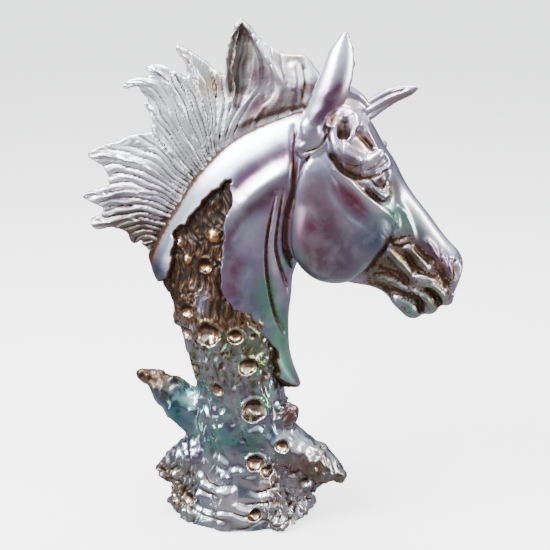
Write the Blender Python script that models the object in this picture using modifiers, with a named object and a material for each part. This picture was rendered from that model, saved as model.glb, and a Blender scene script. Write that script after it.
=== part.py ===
"""Horse head statuette, cast in one with the tree stump that it stands on.

Blender 4.5, metres, +Z up. The horse faces +X, the ground is z = 0 and the origin is the middle of
the base's underside. The outlines are drawn in steps: a figure of 391 steps is HEIGHT tall.
"""
import math

import bmesh
import bpy
import numpy as np

# Driving sizes, metres
HEIGHT = 0.391            # ground to the tip of the tallest lock
BASE_LENGTH = 0.114       # underside, along X
BASE_DEPTH = 0.090        # underside, along Y
BASE_THICK = 0.016        # rim of the base, below the slope of its skirt
TRUNK_DEPTH = 0.070       # stump at its waist, along Y
NECK_WIDTH = 0.066        # neck at its root
HEAD_WIDTH = 0.064        # across the cheeks
MUZZLE_WIDTH = 0.036      # across the nostrils
MANE_THICK = 0.017        # one lock near its root, along Y
EAR_LENGTH = 0.080        # base bulb to tip
SKIN_STEP = 0.0050        # the smooth skin stands this far above the rough bark
FURROW = 0.0014           # depth of the long furrows in the bark
VOXEL = 0.0020            # grain of the fused casting
TRIANGLES = 9700          # faces kept on the finished casting

STEPS = 391.0             # the outlines' own height
UNIT = HEIGHT / STEPS
AHEAD = 5.0               # the outlines' zero lies this many steps ahead of the base's middle
BELOW = 3.0               # and this many steps below the ground
SIDES = 28                # points round a section
FURROW_PITCH = 9.0        # steps from one furrow in the bark to the next
STRANDS = 3               # ridges across each side of a lock
STRAND_SHARE = 0.22       # their height as a share of the lock's half thickness
SHEET_SHARE = 0.30        # half thickness of the sheet between the locks, as a share of MANE_THICK
TIP_SHARE = 0.28          # what is left of a lock's thickness at its tip
EDGE_RUN = 2.5            # steps over which the torn edge falls to the bark
BARK_FROM = 95            # the bark is furrowed from this height in steps
BARK_LEFT = -56           # and below 130 steps only to the right of this, so the broken branch stays smooth
RIM_SHARE = 0.3           # rim of a pit as a share of its depth
SAME_PLACE = 0.00005      # vertices of the sheet nearer than this are one, metres

# Head, from the poll to the lips: nose line x, z, jaw line x, z, then the half widths high, middle, low
HEAD = [
    (58, 336, 34, 300, 12, 18, 18),
    (72, 333, 32, 266, 20, 27, 25),
    (84, 330, 38, 236, 25, 30, 27),
    (94, 320, 46, 216, 26, 30, 26),
    (103, 301, 58, 207, 24, 29, 24),
    (112, 292, 68, 201, 20, 27, 22),
    (121, 277, 79, 197, 17, 23, 18),
    (130, 264, 90, 195, 15, 18, 14),
    (139, 253, 101, 193, 14, 16, 12),
    (148, 242, 110, 188, 14, 15, 12),
    (156, 232, 119, 181, 14, 16, 12),
    (163, 225, 127, 176, 15, 18, 13),
    (167, 215, 138, 176, 15, 17, 13),
    (164, 200, 147, 180, 11, 13, 11),
    (160, 191, 152, 184, 4, 5, 4),
]
# Lock between the ears, x, y, z and radius along it
FORELOCK = [(58, 4, 340, 7), (72, 5, 342, 5.5), (84, 6, 338, 4), (93, 7, 330, 2.5)]
# Neck, from the poll down to the root: crest x, z, throat x, z, half widths at the crest, middle, throat
NECK = [
    (50, 331, 66, 300, 10, 17, 16),
    (40, 329.5, 58, 262, 15, 24, 22),
    (14.5, 318, 48, 232, 19, 27, 23),
    (-10, 303.5, 42, 212, 20, 28, 23),
    (-33, 280, 38, 200, 21, 30, 25),
    (-50.5, 255, 37, 185, 21, 32, 27),
    (-65, 229.5, 35, 168, 21, 33, 28),
    (-74, 207, 35, 152, 21, 33, 28),
    (-66, 186, 36, 138, 20, 32, 27),
    (-55, 168, 39, 126, 22, 30, 25),
    (-46, 150, 44.5, 113, 20, 27, 19),
    (-40, 138, 47.5, 103, 18, 24, 14),
]
# Roll along the crest, x, y, z and radius
CREST = [
    (46, 0, 324, 8.5), (16, 0, 311.5, 9), (-7.5, 0, 297.5, 9), (-29.5, 0, 275, 9), (-46.5, 0, 251, 9),
    (-60.5, 0, 227, 9.5), (-68, 0, 207, 9.5),
]
# Stump, from the ground up: height, left edge x, right edge x, half depth as a share of the waist's
STUMP = [
    (-6, -62, 54, 1.34),
    (8, -59, 50, 1.28),
    (22, -55, 46, 1.18),
    (40, -50, 42, 1.08),
    (62, -45, 38, 1.00),
    (84, -42, 35, 0.96),
    (104, -38, 31, 0.94),
    (120, -40, 28, 0.94),
    (140, -46, 27, 0.94),
    (160, -51, 27, 0.92),
    (182, -57, 26, 0.84),
    (206, -54, 18, 0.62),
]
# Skirt of the base: height above the ground in rims, share of the base's size
SKIRT = [(-0.5, 1.0), (0, 1.02), (0.45, 1.0), (1.0, 0.93), (1.7, 0.82), (2.5, 0.71), (3.4, 0.62), (4.2, 0.56)]
# Cast roots and stubs of branches: x, y, z, radius at each point
LIMBS = {
    "branch": [(-26, -2, 72, 18), (-46, -4, 88, 17), (-60, -6, 101, 14), (-71, -7, 110, 9), (-80, -8, 115, 5),
               (-88, -8, 117, 2)],
    "root_left": [(-26, -10, 58, 20), (-44, -14, 48, 16), (-57, -16, 39, 11), (-67, -17, 34, 5)],
    "root_left_foot": [(-34, -8, 30, 20), (-48, -12, 24, 13), (-58, -14, 22, 7)],
    "root_right": [(20, -8, 72, 20), (40, -12, 60, 17), (58, -16, 52, 14), (72, -18, 46, 10), (83, -20, 41, 4)],
    "root_right_foot": [(26, -8, 40, 22), (42, -12, 34, 16), (56, -15, 34, 9), (64, -16, 36, 5)],
    "root_front": [(-10, -20, 60, 14), (-10, -34, 34, 11), (-10, -42, 14, 8), (-10, -45, 4, 6)],
    "root_front_right": [(14, -16, 52, 13), (26, -30, 28, 10), (32, -38, 12, 7), (34, -41, 4, 5)],
    "root_back": [(-18, 18, 58, 14), (-30, 31, 34, 11), (-38, 38, 14, 8), (-40, 40, 4, 6)],
    "root_back_right": [(14, 20, 60, 13), (24, 34, 34, 11), (32, 40, 14, 9), (34, 42, 4, 6)],
    "stub_right": [(18, -10, 78, 12), (30, -14, 84, 9), (37, -16, 90, 7.5), (41, -17, 97, 5.5)],
    "burl_back": [(-10, 24, 118, 13), (-6, 31, 128, 10), (-4, 33, 138, 6)],
    "burl_left": [(-30, -6, 170, 16), (-44, -8, 164, 12), (-50, -9, 158, 7)],
}
# Locks of the mane: half width along the crest, shift along Y, then x, z from root to tip
LOCKS = {
    "top_left": (8, -5, [(-4, 300), (-4, 320), (-7, 342), (-8, 362), (-5, 379), (-1, 393)]),
    "top_middle": (9, 3, [(8, 300), (8, 320), (6, 345), (3, 366), (0, 388)]),
    "top_right": (7, -5, [(17, 300), (20, 322), (21, 342), (17, 360), (10, 374), (3, 384)]),
    "forward_inner": (7, 1, [(30, 304), (32, 326), (34, 346), (33, 360), (29, 368)]),
    "forward": (9, -3, [(40, 306), (44, 328), (46, 346), (44, 359), (37, 366), (30, 368)]),
    "second": (8, -3, [(-12, 292), (-21, 316), (-29, 340), (-37, 359), (-48, 372)]),
    "second_inner": (8, 3, [(-4, 296), (-12, 320), (-17, 340), (-21, 356)]),
    "third": (8, -4, [(-20, 284), (-34, 314), (-46, 338), (-58, 351), (-73, 356)]),
    "third_inner": (9, 3, [(-14, 288), (-30, 318), (-42, 338), (-52, 350)]),
    "fourth": (8, -3, [(-26, 278), (-43, 312), (-59, 334), (-75, 344), (-91, 342)]),
    "blunt_upper": (9, 2, [(-30, 272), (-46, 302), (-60, 322), (-74, 334)]),
    "blunt_lower": (9, -4, [(-32, 270), (-50, 294), (-62, 308), (-70, 317)]),
    "fifth": (10, -4, [(-36, 264), (-60, 288), (-83, 297), (-104, 294), (-119, 288)]),
    "fifth_inner": (9, 3, [(-40, 260), (-64, 282), (-86, 286), (-107, 280)]),
    "sixth": (8, -3, [(-46, 252), (-72, 267), (-92, 265), (-109, 261), (-126, 258)]),
    "seventh": (9, -4, [(-50, 244), (-74, 250), (-93, 246), (-107, 240), (-119, 236)]),
    "eighth": (7, 1, [(-54, 236), (-70, 240), (-81, 233), (-88, 223)]),
    "lowest": (6, -3, [(-58, 228), (-68, 230), (-76, 226), (-80, 221)]),
}
# Sheet of hair that the locks grow from, x, z round its edge
MANE_SHEET = [
    (40, 318), (44, 346), (28, 360), (14, 366), (0, 374), (-12, 350), (-36, 348), (-58, 347), (-74, 340),
    (-69, 324), (-70, 309), (-108, 290), (-108, 277), (-105, 268), (-112, 258), (-107, 246), (-104, 238),
    (-88, 231), (-70, 222), (-58, 226), (-30, 268), (0, 296),
]
# Carved marks on both sides: half width, height above the surface, least |y|, then x, z along the mark
RIDGES = [
    (4.5, 3.0, 14, [(67, 308), (73, 298), (82, 290), (91, 289)]),
    (3.2, 1.8, 14, [(91, 284), (98, 288), (106, 293), (111, 296)]),
    (4.0, 2.0, 14, [(92, 280), (98, 272), (106, 266), (113, 268)]),
    (4.5, 1.8, 12, [(84, 288), (91, 277), (100, 267), (110, 259), (121, 251)]),
    (4.0, 2.2, 10, [(114, 232), (122, 220), (131, 207), (134, 198)]),
    (3.5, 1.8, 10, [(124, 230), (132, 220), (140, 212)]),
    (3.0, 1.8, 8, [(99, 210), (109, 206), (120, 201), (130, 197)]),
    (3.0, 1.8, 6, [(135, 196), (139, 201), (145, 201), (151, 196), (155, 188)]),
    (4.5, 1.8, 8, [(157, 226), (158, 214), (158, 202)]),
    (6.5, 2.2, 18, [(37, 292), (21, 279), (6, 265), (-2, 250)]),
    (7.0, 1.8, 18, [(21, 255), (9, 239), (2, 220)]),
]
GROOVES = [
    (3.5, 3.5, 3, [(29, 329), (1, 317), (-25, 296), (-44, 274), (-59, 247), (-69, 223)]),
    (3.0, 2.6, 14, [(65, 304), (74, 292), (88, 283), (98, 284)]),
    (6.0, 3.5, 14, [(76, 326), (77, 318), (80, 311)]),
    (3.0, 2.0, 14, [(90, 276), (98, 266), (108, 261)]),
    (6.5, 3.0, 10, [(110, 238), (118, 240), (126, 238)]),
    (3.5, 2.6, 8, [(104, 204), (115, 199), (124, 194), (134, 191)]),
    (3.2, 3.0, 6, [(138, 195), (144, 196), (149, 192), (152, 187)]),
    (3.0, 2.6, 6, [(153, 217), (154, 208), (157, 200)]),
    (3.0, 2.4, 6, [(134, 191), (137, 186), (140, 180)]),
    (3.0, 1.8, 10, [(48, 292), (41, 276), (38, 256), (38, 238), (41, 220), (50, 207), (64, 203), (80, 203)]),
    (3.0, 1.8, 10, [(90, 210), (99, 218), (106, 229), (111, 236)]),
    (6.0, 2.8, 16, [(42, 303), (24, 290), (6, 278), (-4, 265)]),
    (5.5, 2.8, 16, [(35, 278), (21, 266), (6, 254), (-6, 235), (-8, 211)]),
    (2.4, 3.2, 14, [(28, 269), (22, 237), (21, 216), (23, 195), (27, 173), (34, 154)]),
    (2.4, 3.0, 14, [(34, 273), (30, 249), (28, 228), (31, 211), (36, 190), (36, 173)]),
    (3.0, 3.4, 14, [(40, 317), (41, 300), (41, 273), (36, 250), (35, 228), (40, 212)]),
]
# Torn edge of the smooth skin, from behind the neck to the throat, x, z
TORN_EDGE = [
    (-90, 193), (-66, 193), (-57, 200), (-53, 213), (-51, 226), (-52, 233), (-46, 241), (-41, 244),
    (-36, 250), (-29, 260), (-22, 268), (-11, 276), (-6, 278), (-6, 263), (-10, 250), (-12, 243), (-11, 236),
    (-13, 226), (-13, 206), (-11, 190), (-4, 182), (5, 176), (10, 173), (14, 163), (22, 152), (27, 145),
    (29, 134), (29, 124), (35, 120), (45, 115), (60, 108), (90, 100),
]
# Round pits in the bark: x, z, radius, depth (below zero is a boss), side (-1 towards the viewer, 1 away)
PITS = [
    (-23, 160, 9, 7, -1), (-2, 159, 5.5, 4, -1), (-41, 157, 5, 3, -1), (-40, 176, 5, 3, -1),
    (7, 135, 6.5, 5, -1), (11.5, 99, 8.5, 8, -1), (-26, 212, 6, 4.5, -1), (-16, 115, 5, 2, -1),
    (-14, 84, 7.5, -2.5, -1), (13, 79, 7.5, -2.5, -1), (-36, 55, 6, -2.5, -1),
    (13, 56, 6.5, 5.5, -1), (22, 49, 5, 3.5, -1), (33.5, 69, 5, 3.5, -1), (14, 15, 5.5, 4.5, -1),
    (70, 46, 5, -2, -1), (-20, 235, 5.5, -2.5, -1), (-20, 150, 8, 5, 1), (4, 118, 7, 5, 1),
    (-16, 92, 7, 4, 1), (12, 66, 8, 4, 1), (-24, 196, 6, 3, 1),
]


def smooth_line(points, count):
    """Count samples of a smooth line through the points."""
    given = np.array(points, float)
    padded = np.vstack([2 * given[0] - given[1], given, 2 * given[-1] - given[-2]])
    at = np.linspace(0, len(given) - 1, count)
    cell = np.minimum(at.astype(int), len(given) - 2)
    f = (at - cell)[:, None]
    a, b, c, d = (padded[cell + k] for k in range(4))
    return 0.5 * (2 * b + (c - a) * f + (2 * a - 5 * b + 4 * c - d) * f**2 + (3 * b - a - 3 * c + d) * f**3)


def drawn(points):
    """Points in the outlines' steps as metres above the ground."""
    return (np.array(points, float) + (AHEAD, 0, -BELOW)) * UNIT


def loft(name, rings):
    """One closed skin over rings that all have the same number of points."""
    shape = bmesh.new()
    rows = [[shape.verts.new(point) for point in drawn(ring)] for ring in rings]
    for low, high in zip(rows, rows[1:]):
        for k in range(len(low)):
            after = (k + 1) % len(low)
            shape.faces.new((low[k], low[after], high[after], high[k]))
    shape.faces.new(rows[0])
    shape.faces.new(rows[-1])
    bmesh.ops.recalc_face_normals(shape, faces=shape.faces)
    mesh = bpy.data.meshes.new(name)
    shape.to_mesh(mesh)
    shape.free()
    piece = bpy.data.objects.new(name, mesh)
    bpy.context.scene.collection.objects.link(piece)
    return piece


def around(power):
    """Cosines and sines round a section: a power below 1 squares it off."""
    angles = np.linspace(0, 2 * math.pi, SIDES, endpoint=False)
    c, s = np.cos(angles), np.sin(angles)
    return np.sign(c) * np.abs(c) ** power, np.sign(s) * np.abs(s) ** power


def slab_rings(stations, wider, power):
    """Sections that span two lines in the XZ plane, from rows of line, line and three half widths."""
    c, s = around(power)
    share = (1 - c) / 2
    rings = []
    for x0, z0, x1, z1, high, middle, low in smooth_line(stations, len(stations) * 4):
        width = np.interp(share, (0.15, 0.5, 0.85), (high, middle, low)) * wider
        ring = np.column_stack([x0 + (x1 - x0) * share, width * s, z0 + (z1 - z0) * share])
        rings.append(ring)
    return rings


def tube_rings(points, flat=1.0):
    """Round sections along x, y, z, radius rows, flattened along Y."""
    line = smooth_line(points, len(points) * 4)
    ahead = np.gradient(line[:, :3], axis=0)
    ahead /= np.linalg.norm(ahead, axis=1)[:, None]
    c, s = around(1.0)
    rings = []
    for (x, y, z, radius), along in zip(line, ahead):
        side = np.cross(along, (0, 1, 0))
        side /= np.linalg.norm(side)
        across = np.cross(side, along) * flat
        rings.append(np.array((x, y, z)) + radius * (np.outer(c, side) + np.outer(s, across)))
    return rings


def ball(name, centre, radii, tilt=0.0):
    """An egg shape, turned by tilt degrees in the XZ plane."""
    shape = bmesh.new()
    bmesh.ops.create_uvsphere(shape, u_segments=28, v_segments=18, radius=1.0)
    turn = math.radians(tilt)
    for vert in shape.verts:
        x, y, z = (value * radius for value, radius in zip(vert.co, radii))
        point = (
            centre[0] + x * math.cos(turn) - z * math.sin(turn),
            centre[1] + y,
            centre[2] + x * math.sin(turn) + z * math.cos(turn),
        )
        vert.co = drawn([point])[0]
    mesh = bpy.data.meshes.new(name)
    shape.to_mesh(mesh)
    shape.free()
    piece = bpy.data.objects.new(name, mesh)
    bpy.context.scene.collection.objects.link(piece)
    return piece


def make_head():
    """Skull and muzzle, with the round cheek discs, brows and eyeballs on both sides."""
    wide = HEAD_WIDTH / (64 * UNIT)
    narrow = MUZZLE_WIDTH / (36 * UNIT)
    stations = np.array(HEAD, float)
    blend = np.interp(stations[:, 0], (100, 150), (wide, narrow))
    stations[:, 4:] *= blend[:, None]
    pieces = [loft("skull", slab_rings(stations, 1.0, 0.86))]
    for side in (-1, 1):
        pieces.append(ball("cheek", (77, side * 13 * wide, 250), (37, 17 * wide, 51), -22))
        pieces.append(ball("brow", (97, side * 19 * wide, 300), (13, 9 * wide, 7), -32))
        pieces.append(ball("eyeball", (103, side * 21 * wide, 281), (8, 6 * wide, 7), 0))
        pieces.append(ball("nostril", (157, side * 9 * narrow, 214), (8, 8 * narrow, 16), 8))
        pieces.append(ball("upper_lip", (145, side * 7 * narrow, 199), (13, 8 * narrow, 9), -30))
    pieces.append(ball("jaw_end", (123, 0, 185.5), (14, 12 * narrow, 8.5), -40))
    pieces.append(ball("chin", (129.5, 0, 177.5), (9, 11 * narrow, 6.5), -14))
    pieces.append(ball("lower_lip", (143.5, 0, 181), (6.5, 10 * narrow, 6.5), -30))
    pieces.append(ball("lip_tip", (156, 0, 187.5), (5.5, 10 * narrow, 5.5), -40))
    return pieces


def make_ear(name, root, tip, half_width, lean, hollow):
    """A leaf of an ear: a closed loft along its axis, hollowed towards its opening."""
    root = np.array(root, float)
    axis = np.array(tip, float) - root
    length = np.linalg.norm(axis)
    axis /= length
    stretch = EAR_LENGTH / (80 * UNIT)
    opening = np.array(hollow, float)
    opening -= axis * opening.dot(axis)
    opening /= np.linalg.norm(opening)
    side = np.cross(axis, opening)
    rings = []
    for along in np.linspace(0, 1, 16):
        width = half_width * max(0.06, (1 - along**2.2) * (0.52 + 0.9 * along)) * 1.05
        bow = lean * math.sin(math.pi * along) * opening
        middle = root + axis * length * stretch * along - bow
        angles = np.linspace(-0.5 * math.pi, 0.5 * math.pi, 10)
        cup = 0.75 * width
        outer = [middle + side * width * math.sin(a) - opening * cup * math.cos(a) for a in angles]
        dip = 0.34 * width * min(1.0, 4 * along)
        inner = [
            middle + side * width * 0.92 * math.sin(a) - opening * dip * math.cos(a) + opening * 0.6
            for a in angles[::-1][1:-1]
        ]
        rings.append(np.array(outer + inner))
    return loft(name, rings)


def make_ears():
    """The near ear stands up and opens forwards; the far ear is laid forwards."""
    return [
        make_ear("ear_near", (54, -24, 312), (79, -18, 385.5), 15.0, 3.0, (0.35, 1.0, 0.0)),
        make_ear("ear_far", (80, 24, 322), (126, 28, 341), 12.0, 3.0, (0.2, -0.8, -0.5)),
        ball("ear_bulb_near", (53, -22, 314), (10, 10, 12), 0),
        ball("ear_bulb_far", (78, 20, 322), (12, 9, 11), 0),
        ball("forelock", (76, 6, 331), (15, 9, 7), -15),
        loft("forelock_lock", tube_rings(FORELOCK)),
    ]


def make_neck():
    """The arched neck, whose crest is a thick rounded band."""
    wide = NECK_WIDTH / (66 * UNIT)
    return [loft("neck", slab_rings(NECK, wide, 0.9)), loft("crest", tube_rings(CREST))]


def make_lock(name, half_width, shift, points):
    """A flat tapering lock of hair with a slight twist to one side."""
    line = smooth_line(points, len(points) * 5)
    ahead = np.gradient(line, axis=0)
    ahead /= np.linalg.norm(ahead, axis=1)[:, None]
    c, s = around(1.0)
    half_thick = MANE_THICK / UNIT / 2
    rings = []
    for k, ((x, z), (dx, dz)) in enumerate(zip(line, ahead)):
        along = k / (len(line) - 1)
        width = half_width * (1 - 0.86 * along**1.8)
        thick = half_thick * (1 + (TIP_SHARE - 1) * along)
        y = shift * (1 - 0.5 * along)
        strands = 1 + STRAND_SHARE * np.cos(STRANDS * math.pi * c) * (1 - along)
        ring = np.column_stack([x - dz * width * c, y + thick * s * strands, z + dx * width * c])
        rings.append(ring)
    return loft(name, rings)


def make_mane():
    """The locks, and the sheet of hair between them."""
    sheet = bpy.data.curves.new("mane_sheet", "CURVE")
    sheet.dimensions = "2D"
    sheet.fill_mode = "BOTH"
    sheet.extrude = SHEET_SHARE * MANE_THICK
    spline = sheet.splines.new("POLY")
    spline.points.add(len(MANE_SHEET) - 1)
    for point, (x, z) in zip(spline.points, MANE_SHEET):
        point.co = ((x + AHEAD) * UNIT, (z - BELOW) * UNIT, 0, 1)
    spline.use_cyclic_u = True
    outline = bpy.data.objects.new("mane_sheet", sheet)
    outline.rotation_euler.x = math.pi / 2
    bpy.context.scene.collection.objects.link(outline)
    bpy.context.view_layer.update()
    solid = bpy.data.meshes.new_from_object(outline.evaluated_get(bpy.context.evaluated_depsgraph_get()))
    shape = bmesh.new()
    shape.from_mesh(solid)
    bmesh.ops.remove_doubles(shape, verts=shape.verts, dist=SAME_PLACE)
    bmesh.ops.recalc_face_normals(shape, faces=shape.faces)
    shape.to_mesh(solid)
    shape.free()
    piece = bpy.data.objects.new("mane_sheet_solid", solid)
    piece.matrix_world = outline.matrix_world
    bpy.context.scene.collection.objects.link(piece)
    bpy.data.objects.remove(outline)
    pieces = [piece]
    for name, (half_width, shift, points) in LOCKS.items():
        pieces.append(make_lock(name, half_width, shift, points))
    return pieces


def make_stump():
    """The trunk, its roots and broken branch, and the skirt that they run into.

    The trunk is drawn as it is with its bark. It is made thicker by what the carving takes off.
    """
    deep = TRUNK_DEPTH / 2 / UNIT
    c, s = around(0.92)
    rings = []
    for z, left, right, share in smooth_line(STUMP, len(STUMP) * 4):
        spare = SKIN_STEP / UNIT * min(max((z - BARK_FROM) / 20, 0), 1)
        middle = (left - spare + right + spare / 2) / 2
        half = (right + spare / 2 - left + spare) / 2
        rings.append(np.column_stack([middle + half * c, (deep * share + spare) * s, np.full(SIDES, z)]))
    pieces = [loft("stump", rings)]
    for name, points in LIMBS.items():
        pieces.append(loft(name, tube_rings(points)))
    half_long = BASE_LENGTH / 2 / UNIT
    half_deep = BASE_DEPTH / 2 / UNIT
    thick = BASE_THICK / UNIT
    plate = []
    angles = np.linspace(0, 2 * math.pi, SIDES * 2, endpoint=False)
    wave = 1 + 0.03 * np.sin(3 * angles + 0.6)
    wave += 0.025 * np.sin(5 * angles + 2.2) + 0.02 * np.sin(8 * angles + 1)
    for level, share in smooth_line(SKIRT, len(SKIRT) * 3):
        x = half_long * share * wave * np.cos(angles)
        y = half_deep * share * wave * np.sin(angles)
        plate.append(np.column_stack([x - AHEAD, y, np.full(len(angles), level * thick + BELOW)]))
    pieces.append(loft("base", plate))
    return pieces


def fuse(pieces, name):
    """The pieces as one skin without the walls that lie inside."""
    bpy.ops.object.select_all(action="DESELECT")
    for piece in pieces:
        piece.select_set(True)
    bpy.context.view_layer.objects.active = pieces[0]
    bpy.ops.object.join()
    casting = bpy.context.view_layer.objects.active
    casting.name = name
    grain = casting.modifiers.new("fuse", "REMESH")
    grain.mode = "VOXEL"
    grain.voxel_size = VOXEL
    bpy.context.view_layer.update()
    fused = bpy.data.meshes.new_from_object(casting.evaluated_get(bpy.context.evaluated_depsgraph_get()))
    casting.modifiers.clear()
    casting.data = fused
    fused.name = name
    return casting


def keep_outer_skin(mesh):
    """Only the largest loose part stays, so no closed bubble is left inside."""
    shape = bmesh.new()
    shape.from_mesh(mesh)
    shape.verts.ensure_lookup_table()
    seen = [False] * len(shape.verts)
    groups = []
    for first in shape.verts:
        if seen[first.index]:
            continue
        seen[first.index] = True
        group = [first]
        for vert in group:
            for edge in vert.link_edges:
                other = edge.other_vert(vert)
                if not seen[other.index]:
                    seen[other.index] = True
                    group.append(other)
        groups.append(group)
    groups.sort(key=len)
    for group in groups[:-1]:
        bmesh.ops.delete(shape, geom=group, context="VERTS")
    shape.to_mesh(mesh)
    shape.free()


def read_points(mesh):
    """Vertex positions of a mesh as rows."""
    flat = np.empty(len(mesh.vertices) * 3)
    mesh.vertices.foreach_get("co", flat)
    return flat.reshape(-1, 3)


def read_normals(mesh):
    """Vertex normals of a mesh as rows."""
    flat = np.empty(len(mesh.vertices) * 3)
    mesh.vertex_normals.foreach_get("vector", flat)
    return flat.reshape(-1, 3)


def soften(mesh, rounds):
    """Each vertex moves halfway to the middle of its neighbours, to take out the grain."""
    edges = np.empty(len(mesh.edges) * 2, dtype=np.int32)
    mesh.edges.foreach_get("vertices", edges)
    first, second = edges.reshape(-1, 2).T
    points = read_points(mesh)
    count = np.bincount(first, minlength=len(points)) + np.bincount(second, minlength=len(points))
    for _ in range(rounds):
        total = np.zeros_like(points)
        for axis in range(3):
            total[:, axis] += np.bincount(first, points[second, axis], len(points))
            total[:, axis] += np.bincount(second, points[first, axis], len(points))
        points = 0.5 * points + 0.5 * total / count[:, None]
    mesh.vertices.foreach_set("co", points.ravel())
    mesh.update()


def distance_to_line(points, line):
    """Distance of each XZ point to a broken line."""
    best = np.full(len(points), np.inf)
    for start, end in zip(line, line[1:]):
        span = end - start
        share = np.clip((points - start) @ span / max(span @ span, 1e-9), 0, 1)
        best = np.minimum(best, np.linalg.norm(points - start - share[:, None] * span, axis=1))
    return best


def under_edge(points, line):
    """True for XZ points that lie below the torn edge, which runs from left to right."""
    inside = np.zeros(len(points), bool)
    loop = np.vstack([line, (line[-1][0], -60), (line[0][0], -60)])
    for start, end in zip(loop, np.roll(loop, -1, axis=0)):
        crosses = (start[1] > points[:, 1]) != (end[1] > points[:, 1])
        rise = end[1] - start[1]
        at = start[0] + (points[:, 1] - start[1]) * (end[0] - start[0]) / (rise if rise else 1e-9)
        inside ^= crosses & (points[:, 0] < at)
    return inside


def carve(mesh):
    """Ridges, grooves, the torn step of the skin and the pits, pushed along the surface's normals."""
    points = read_points(mesh)
    normals = read_normals(mesh)
    steps = points / UNIT - (AHEAD, 0, -BELOW)
    flat = steps[:, [0, 2]]
    lift = np.zeros(len(points))
    facing = np.clip((np.abs(normals[:, 1]) - 0.15) / 0.4, 0, 1)
    for sign, marks in ((1, RIDGES), (-1, GROOVES)):
        for half_width, height, least, line in marks:
            path = smooth_line(line, len(line) * 4)
            near = distance_to_line(flat, path)
            shape = np.exp(-((near / half_width) ** 2)) * facing * (np.abs(steps[:, 1]) > least * 0.6)
            lift += sign * height * shape
    edge = np.array(TORN_EDGE, float)
    away = distance_to_line(flat, edge)
    depth = np.where(under_edge(flat, edge), np.clip(away / EDGE_RUN, 0, 1), 0)
    trunk = np.maximum(np.clip((flat[:, 0] - BARK_LEFT) / 8, 0, 1), np.clip((flat[:, 1] - 130) / 10, 0, 1))
    bark = depth * trunk * np.clip((flat[:, 1] - BARK_FROM) / 20, 0, 1)
    wander = flat[:, 0] + 3 * np.sin(flat[:, 1] / 17) + 2 * np.sin(flat[:, 1] / 7 + flat[:, 0] / 11)
    furrows = np.sin(wander * 2 * math.pi / FURROW_PITCH)
    lift -= bark * (SKIN_STEP + FURROW * furrows) / UNIT
    for x, z, radius, deep, side in PITS:
        near = np.hypot(flat[:, 0] - x, flat[:, 1] - z) / radius
        bowl = -deep * np.exp(-(near**4))
        bowl += RIM_SHARE * abs(deep) * np.exp(-(((near - 1.25) / 0.3) ** 2))
        lift += bowl * (normals[:, 1] * side > 0.1) * (steps[:, 1] * side > 8)
    points += normals * (lift * UNIT)[:, None]
    mesh.vertices.foreach_set("co", points.ravel())
    mesh.update()


def plated_resin():
    """Cast resin with a silvery plated skin."""
    finish = bpy.data.materials.new("plated_resin")
    finish.use_nodes = True
    shader = finish.node_tree.nodes["Principled BSDF"]
    shader.inputs["Base Color"].default_value = (0.50, 0.50, 0.52, 1)
    shader.inputs["Metallic"].default_value = 1.0
    shader.inputs["Roughness"].default_value = 0.25
    return finish


def ground_cutter():
    """A block below the ground that leaves the underside flat."""
    shape = bmesh.new()
    bmesh.ops.create_cube(shape, size=1.0)
    size = 2 * HEIGHT
    for vert in shape.verts:
        vert.co = (vert.co.x * size, vert.co.y * size, vert.co.z * size - size / 2)
    mesh = bpy.data.meshes.new("ground_cutter")
    shape.to_mesh(mesh)
    shape.free()
    cutter = bpy.data.objects.new("ground_cutter", mesh)
    cutter.hide_render = True
    cutter.display_type = "WIRE"
    return cutter


for old in list(bpy.data.objects):
    bpy.data.objects.remove(old, do_unlink=True)
statuette = bpy.data.collections.new("horse_head_statuette")
cutters = bpy.data.collections.new("cutters")
bpy.context.scene.collection.children.link(statuette)
bpy.context.scene.collection.children.link(cutters)

casting = fuse(make_head() + make_ears() + make_neck() + make_mane() + make_stump(), "horse_head_statuette")
keep_outer_skin(casting.data)
soften(casting.data, 3)
carve(casting.data)
bpy.context.scene.collection.objects.unlink(casting)
statuette.objects.link(casting)
casting.data.materials.append(plated_resin())
casting.data.shade_smooth()

cutter = ground_cutter()
cutters.objects.link(cutter)
fewer = casting.modifiers.new("fewer_faces", "DECIMATE")
fewer.ratio = TRIANGLES / sum(len(face.vertices) - 2 for face in casting.data.polygons)
level = casting.modifiers.new("flat_underside", "BOOLEAN")
level.operation = "DIFFERENCE"
level.solver = "EXACT"
level.object = cutter
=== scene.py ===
"""Horse head statuette on a tree stump, cast in resin in one and finished in tinted silver plate.

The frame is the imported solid. Outlines are drawn in millimetres, with the horse facing +X; the drawing's
zero lies 5 mm ahead of the middle of the underside and 3 mm below the ground.
"""
import math

import bmesh
import bpy
import numpy as np
from mathutils import Matrix, Vector, noise
from mathutils.bvhtree import BVHTree


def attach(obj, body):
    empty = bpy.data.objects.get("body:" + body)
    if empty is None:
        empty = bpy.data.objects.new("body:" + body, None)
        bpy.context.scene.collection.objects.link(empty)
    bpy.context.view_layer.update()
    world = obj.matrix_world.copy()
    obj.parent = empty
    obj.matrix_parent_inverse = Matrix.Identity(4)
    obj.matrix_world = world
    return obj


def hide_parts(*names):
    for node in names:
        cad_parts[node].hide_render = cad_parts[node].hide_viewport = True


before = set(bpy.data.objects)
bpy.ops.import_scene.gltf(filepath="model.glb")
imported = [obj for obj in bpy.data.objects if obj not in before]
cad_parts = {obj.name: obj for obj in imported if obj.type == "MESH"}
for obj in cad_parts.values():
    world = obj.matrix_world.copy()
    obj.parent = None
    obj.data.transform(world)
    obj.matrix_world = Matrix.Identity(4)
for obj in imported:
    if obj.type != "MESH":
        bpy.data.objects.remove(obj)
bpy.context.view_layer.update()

# THE VIEW
# A small thing on a pale table, seen from slightly above and a little ahead of square on.
# One large soft window stands at the upper left, with paler cards at the right and overhead.
AIM = Vector((0.029, 0.0, 0.197))
AWAY = 0.90
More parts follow.
